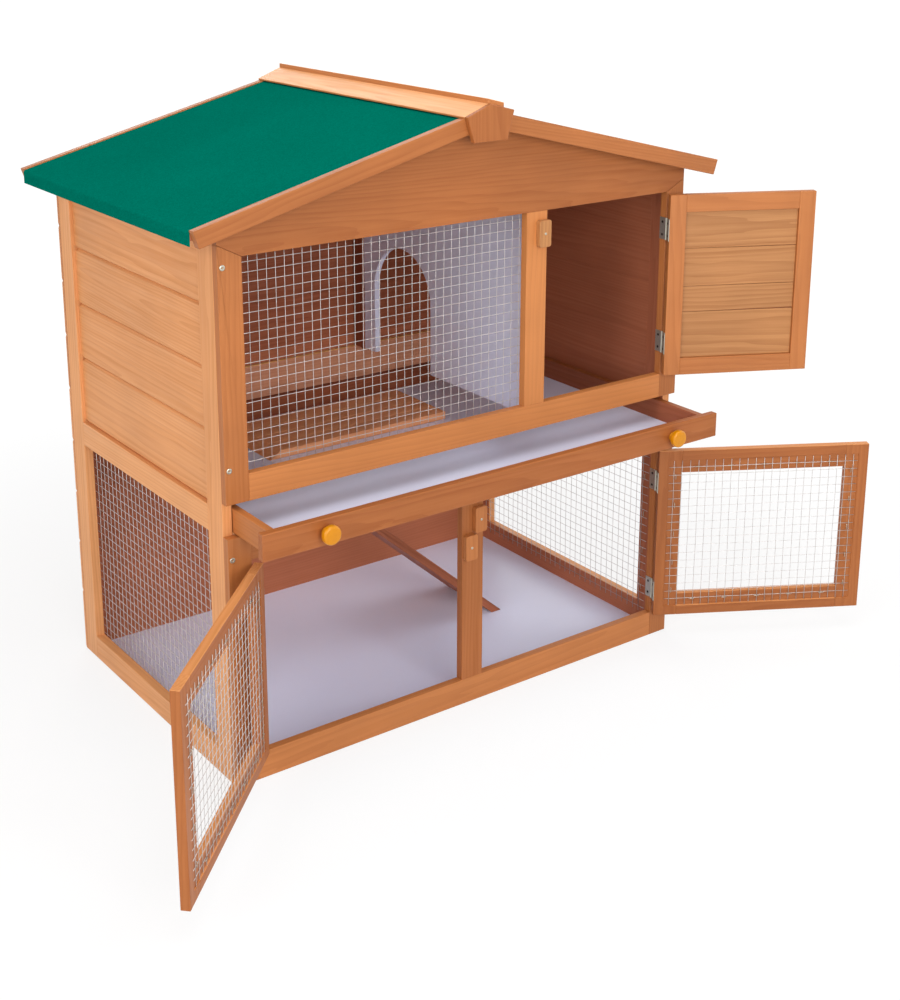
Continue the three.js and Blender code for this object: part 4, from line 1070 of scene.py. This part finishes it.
# %% Screws in the corner stiles
# From the stile's outer edge, and above the ground: two in the upper storey, one below.
STILE_SCREWS = ((0.008, 0.816), (0.007, 0.5145), (0.007, 0.375))
for number, (inset, z) in enumerate(STILE_SCREWS, 1):
    for side, x in (("left", inset - gable_high[0]), ("right", gable_high[0] - inset)):
        screw(f"stile_screw_{side}_{number}", (x, gable_low[1], z), (0, -1, 0), "hutch", radius=0.0043)
print("stile screws", 2 * len(STILE_SCREWS))

# %% Screws in the hinge leaves
# A closed hinge leaves 0.1 mm between its leaves, so these heads lie flush.
LEAF_FACE, LEAF_MIDDLE = 0.00005, 0.0089  # from the pin: across to a leaf's face, and back
FROM_LEAF_END = 0.008


def flush_screw(name, centre, facing, body):
    """A flat head 4.8 mm across that stands 0.04 mm proud, with a round recess. Its near-black steel is
    painted shade of the recess.
    """
    r = 0.0024
    profile = [(r, 0), (0.95 * r, 0.00003), (0.55 * r, 0.00004), (0.4 * r, 0.00001), (0.05 * r, 0.00001)]
    return ride_as(round_piece(name, centre, facing, profile, around=20), body, recess_shade_steel, "zinc_steel")


for name, door in doors.items():
    place, toward = hang(name), door["toward"]
    outward = toward * np.array([math.cos(door["turn"]), math.sin(door["turn"]), 0])
    for level in ("lower", "upper"):
        low, high = corners(f"{name}_{level}_hinge_moving")
        for number, z in enumerate((low[2] + FROM_LEAF_END, high[2] - FROM_LEAF_END), 1):
            middle = place(np.array([LEAF_FACE - FROM_PIN, LEAF_MIDDLE - FACE[0], z]))
            flush_screw(f"{name}_{level}_door_screw_{number}", middle, -outward, name)
            fixed = (door["pin"][0] - toward * LEAF_FACE, door["pin"][1] + LEAF_MIDDLE, z)
            flush_screw(f"{name}_{level}_stile_screw_{number}", fixed, (toward, 0, 0), "hutch")

# %% Steel plates and pins
def steel_plate(name, low, high, along, body):
    """A thin zinc-plated plate with broken edges."""
    return straight(name, low, high, along, body=body, material=plate_zinc, slot="zinc_steel", soft=0.0002)


def knuckle(name, centre, facing, length, radius, body):
    """Three rolled eyes in line, with a fine groove between neighbours."""
    r, sunk, half = radius, 0.8 * radius, length / 2
    profile = [(sunk, -half), (r, 0.0003 - half)]
    for groove in (-half / 3, half / 3):
        profile += [(r, groove - 0.0003), (sunk, groove - 0.0001)]
        profile += [(sunk, groove + 0.0001), (r, groove + 0.0003)]
    profile += [(r, half - 0.0003), (sunk, half)]
    return ride_as(round_piece(name, centre, facing, profile, around=20), body, plate_zinc, "zinc_steel")


# %% Hinges of the lid
LEAF_HALF, LEAF_THICKNESS, FROM_LID_END = 0.015, 0.0007, 0.07
low, high = corners("hatch_lid")
pins = {joint["name"]: np.array(joint["pos_m"]) for joint in frame["joints"] if joint["type"] == "hinge"}
pin = pins["hatch_lid_hinge"]
base_top = corners("tray_base")[1][2]
for number, x in enumerate((low[0] + FROM_LID_END, high[0] - FROM_LID_END), 1):
    left, right = x - LEAF_HALF, x + LEAF_HALF
    knuckle(f"lid_hinge_{number}_pin", (x, pin[1], pin[2]), (1, 0, 0), 2 * LEAF_HALF, 0.0018, "tray")
    steel_plate(f"lid_hinge_{number}_lid_leaf", (left, high[1], pin[2] - 0.001),
                (right, high[1] + LEAF_THICKNESS, high[2] - 0.001), "x", "hatch_lid")
    steel_plate(f"lid_hinge_{number}_tray_leaf", (left, pin[1] + 0.001, base_top),
                (right, pin[1] + 0.014, base_top + LEAF_THICKNESS), "x", "tray")
print("lid hung at", pin.round(4))

# %% Brackets of the ramp
BESIDE_RAMP, BRACKET_THICKNESS = 0.0005, 0.0015
low, high = corners("ramp")
pin = pins["ramp_hinge"]
under = corners("tray_base")[0][2]
for place, y, outer in (("front", low[1] - BESIDE_RAMP, -1), ("rear", high[1] + BESIDE_RAMP, 1)):
    near, far = sorted((y, y + outer * BRACKET_THICKNESS))
    steel_plate(f"ramp_bracket_{place}", (pin[0] - 0.021, near, pin[2] - 0.007),
                (pin[0] + 0.007, far, under), "z", "tray")
    middle = (pin[0], (near + far) / 2, pin[2])
    knuckle(f"ramp_bracket_{place}_pin", middle, (0, 1, 0), 0.004, 0.0025, "tray")
print("ramp hung at", pin.round(4))

# %% [markdown]
# ## White boards and hinges
#
# The floor, the tray's base and the partition are faced with white melamine. It is smooth,
# with a faint orange-peel gloss and a cool tint. Their solids already have the right shape,
# so they only get this finish, and the hinge leaves get their zinc.

# %% White melamine and the CAD pieces that stay
def melamine():
    """Melamine-faced board: cool white, satin, with an orange-peel surface about 3 mm wide
    and faint smears of dust."""
    material, tree = new_material("melamine_white")
    place = add(tree, "TexCoord").outputs["Object"]
    peel = add(tree, "TexNoise", {"Vector": place, "Scale": 330.0, "Detail": 1.0})
    dust = add(tree, "TexNoise", {"Vector": place, "Scale": 4.0, "Detail": 4.0, "Roughness": 0.6})
    colour = add(tree, "Mix", {
        0: dust.outputs["Fac"], 6: linear("#e2e6ff"), 7: linear("#e9edff"),
    }, data_type="RGBA")
    rough = add(tree, "MapRange", {
        "Value": dust.outputs["Fac"], "From Min": 0.2, "From Max": 0.8, "To Min": 0.27, "To Max": 0.33,
    })
    bump = add(tree, "Bump", {"Height": peel.outputs["Fac"], "Strength": 0.1, "Distance": 0.0003})
    finish_with(tree, add(tree, "BsdfPrincipled", {
        "Base Color": colour.outputs[2], "Roughness": rough.outputs[0], "Normal": bump.outputs[0],
        "IOR": 1.5,
    }))
    return material


white = melamine()
kept = {"floor_sheet": white, "tray_base": white, "partition": white}
kept |= {node: plate_zinc for node in frame["nodes"] if "hinge" in node}
for node, material in kept.items():
    slots = frame["nodes"][node].data.materials
    slots.clear()
    slots.append(material)
print(len(kept), "kept CAD pieces have their finish")

# %% [markdown]
# ## Studio
#
# A white room with five large soft lamps: on the left, in front at window height so that it
# reaches into the rooms, above the roof, on the right and behind. White behind the hutch
# comes from what camera and mirror rays see, not from more light on the wood. Near the hutch
# a quarter of what is seen of the floor is plain paint, which keeps a soft shadow, and
# further out it turns to even white.

# %% World and floor materials
def seen_by_camera(tree):
    """1 for a camera, glossy or transmission ray, which make up what is seen, else 0."""
    path = add(tree, "LightPath")
    seen = path.outputs["Is Camera Ray"]
    for ray in ("Is Glossy Ray", "Is Transmission Ray"):
        seen = add(tree, "Math", {0: seen, 1: path.outputs[ray]}, operation="MAXIMUM").outputs[0]
    return seen


WHITE = (1, 1, 1, 1)
world = bpy.data.worlds.new("studio")
world.use_nodes = True
bpy.context.scene.world = world
tree = world.node_tree
tree.nodes.clear()
strength = add(tree, "MapRange", {"Value": seen_by_camera(tree), "To Min": 0.33, "To Max": 1.0})
glow = add(tree, "Background", {"Color": WHITE, "Strength": strength.outputs[0]})
add(tree, "OutputWorld", {"Surface": glow.outputs[0]})

floor_material, tree = new_material("studio_floor")
place = add(tree, "TexCoord").outputs["Object"]
distance = add(tree, "VectorMath", {0: place}, operation="LENGTH")
share = add(tree, "MapRange", {
    "Value": distance.outputs["Value"], "From Min": 0.8, "From Max": 2.2, "To Min": 0.74, "To Max": 1.0,
}, interpolation_type="SMOOTHSTEP")
share = add(tree, "Math", {0: seen_by_camera(tree), 1: share.outputs[0]}, operation="MULTIPLY")
paint = add(tree, "BsdfDiffuse", {"Color": (0.72, 0.72, 0.72, 1)})
glow = add(tree, "Emission", {"Color": WHITE, "Strength": 1.06})
finish_with(tree, add(tree, "MixShader", {0: share.outputs[0], 1: paint.outputs[0], 2: glow.outputs[0]}))
print("studio", world.name, floor_material.name)

# %% Floor and lamps
FLOOR_REACH, FLOOR_DROP = 30.0, 0.0005
square = [(sx * FLOOR_REACH, sy * FLOOR_REACH, -FLOOR_DROP)
          for sx, sy in ((-1, -1), (1, -1), (1, 1), (-1, 1))]
floor = surface("floor", square, [(0, 1, 2, 3)], turned_out=True, smooth=False)
floor.data.materials.append(floor_material)

for name, place, aim, size, watts in (
    ("key", (-3.3, -1.1, 1.5), (0, 0, 0.4), 2.0, 56),
    ("front", (-0.7, -3.2, 1.45), (0, 0, 0.5), 1.8, 61),
    ("top", (-0.3, -0.8, 3.1), (0, 0, 0.8), 2.0, 38),
    ("right", (2.9, -0.9, 1.5), (0, 0, 0.3), 1.8, 34),
    ("rear", (1.2, 2.8, 2.0), (0, 0, 0.6), 1.8, 32),
):
    lamp = bpy.data.lights.new(name, "AREA")
    lamp.size = size
    lamp.energy = watts
    made = put_in_scene(name, lamp)
    made.location = place
    away = np.array(place, float) - np.array(aim, float)
    tilt = math.acos(away[2] / np.linalg.norm(away))
    made.rotation_euler = (tilt, 0, math.atan2(away[1], away[0]) + math.pi / 2)
bpy.context.scene.view_settings.view_transform = "Standard"
print("lamps", [lamp.name for lamp in bpy.data.lights])
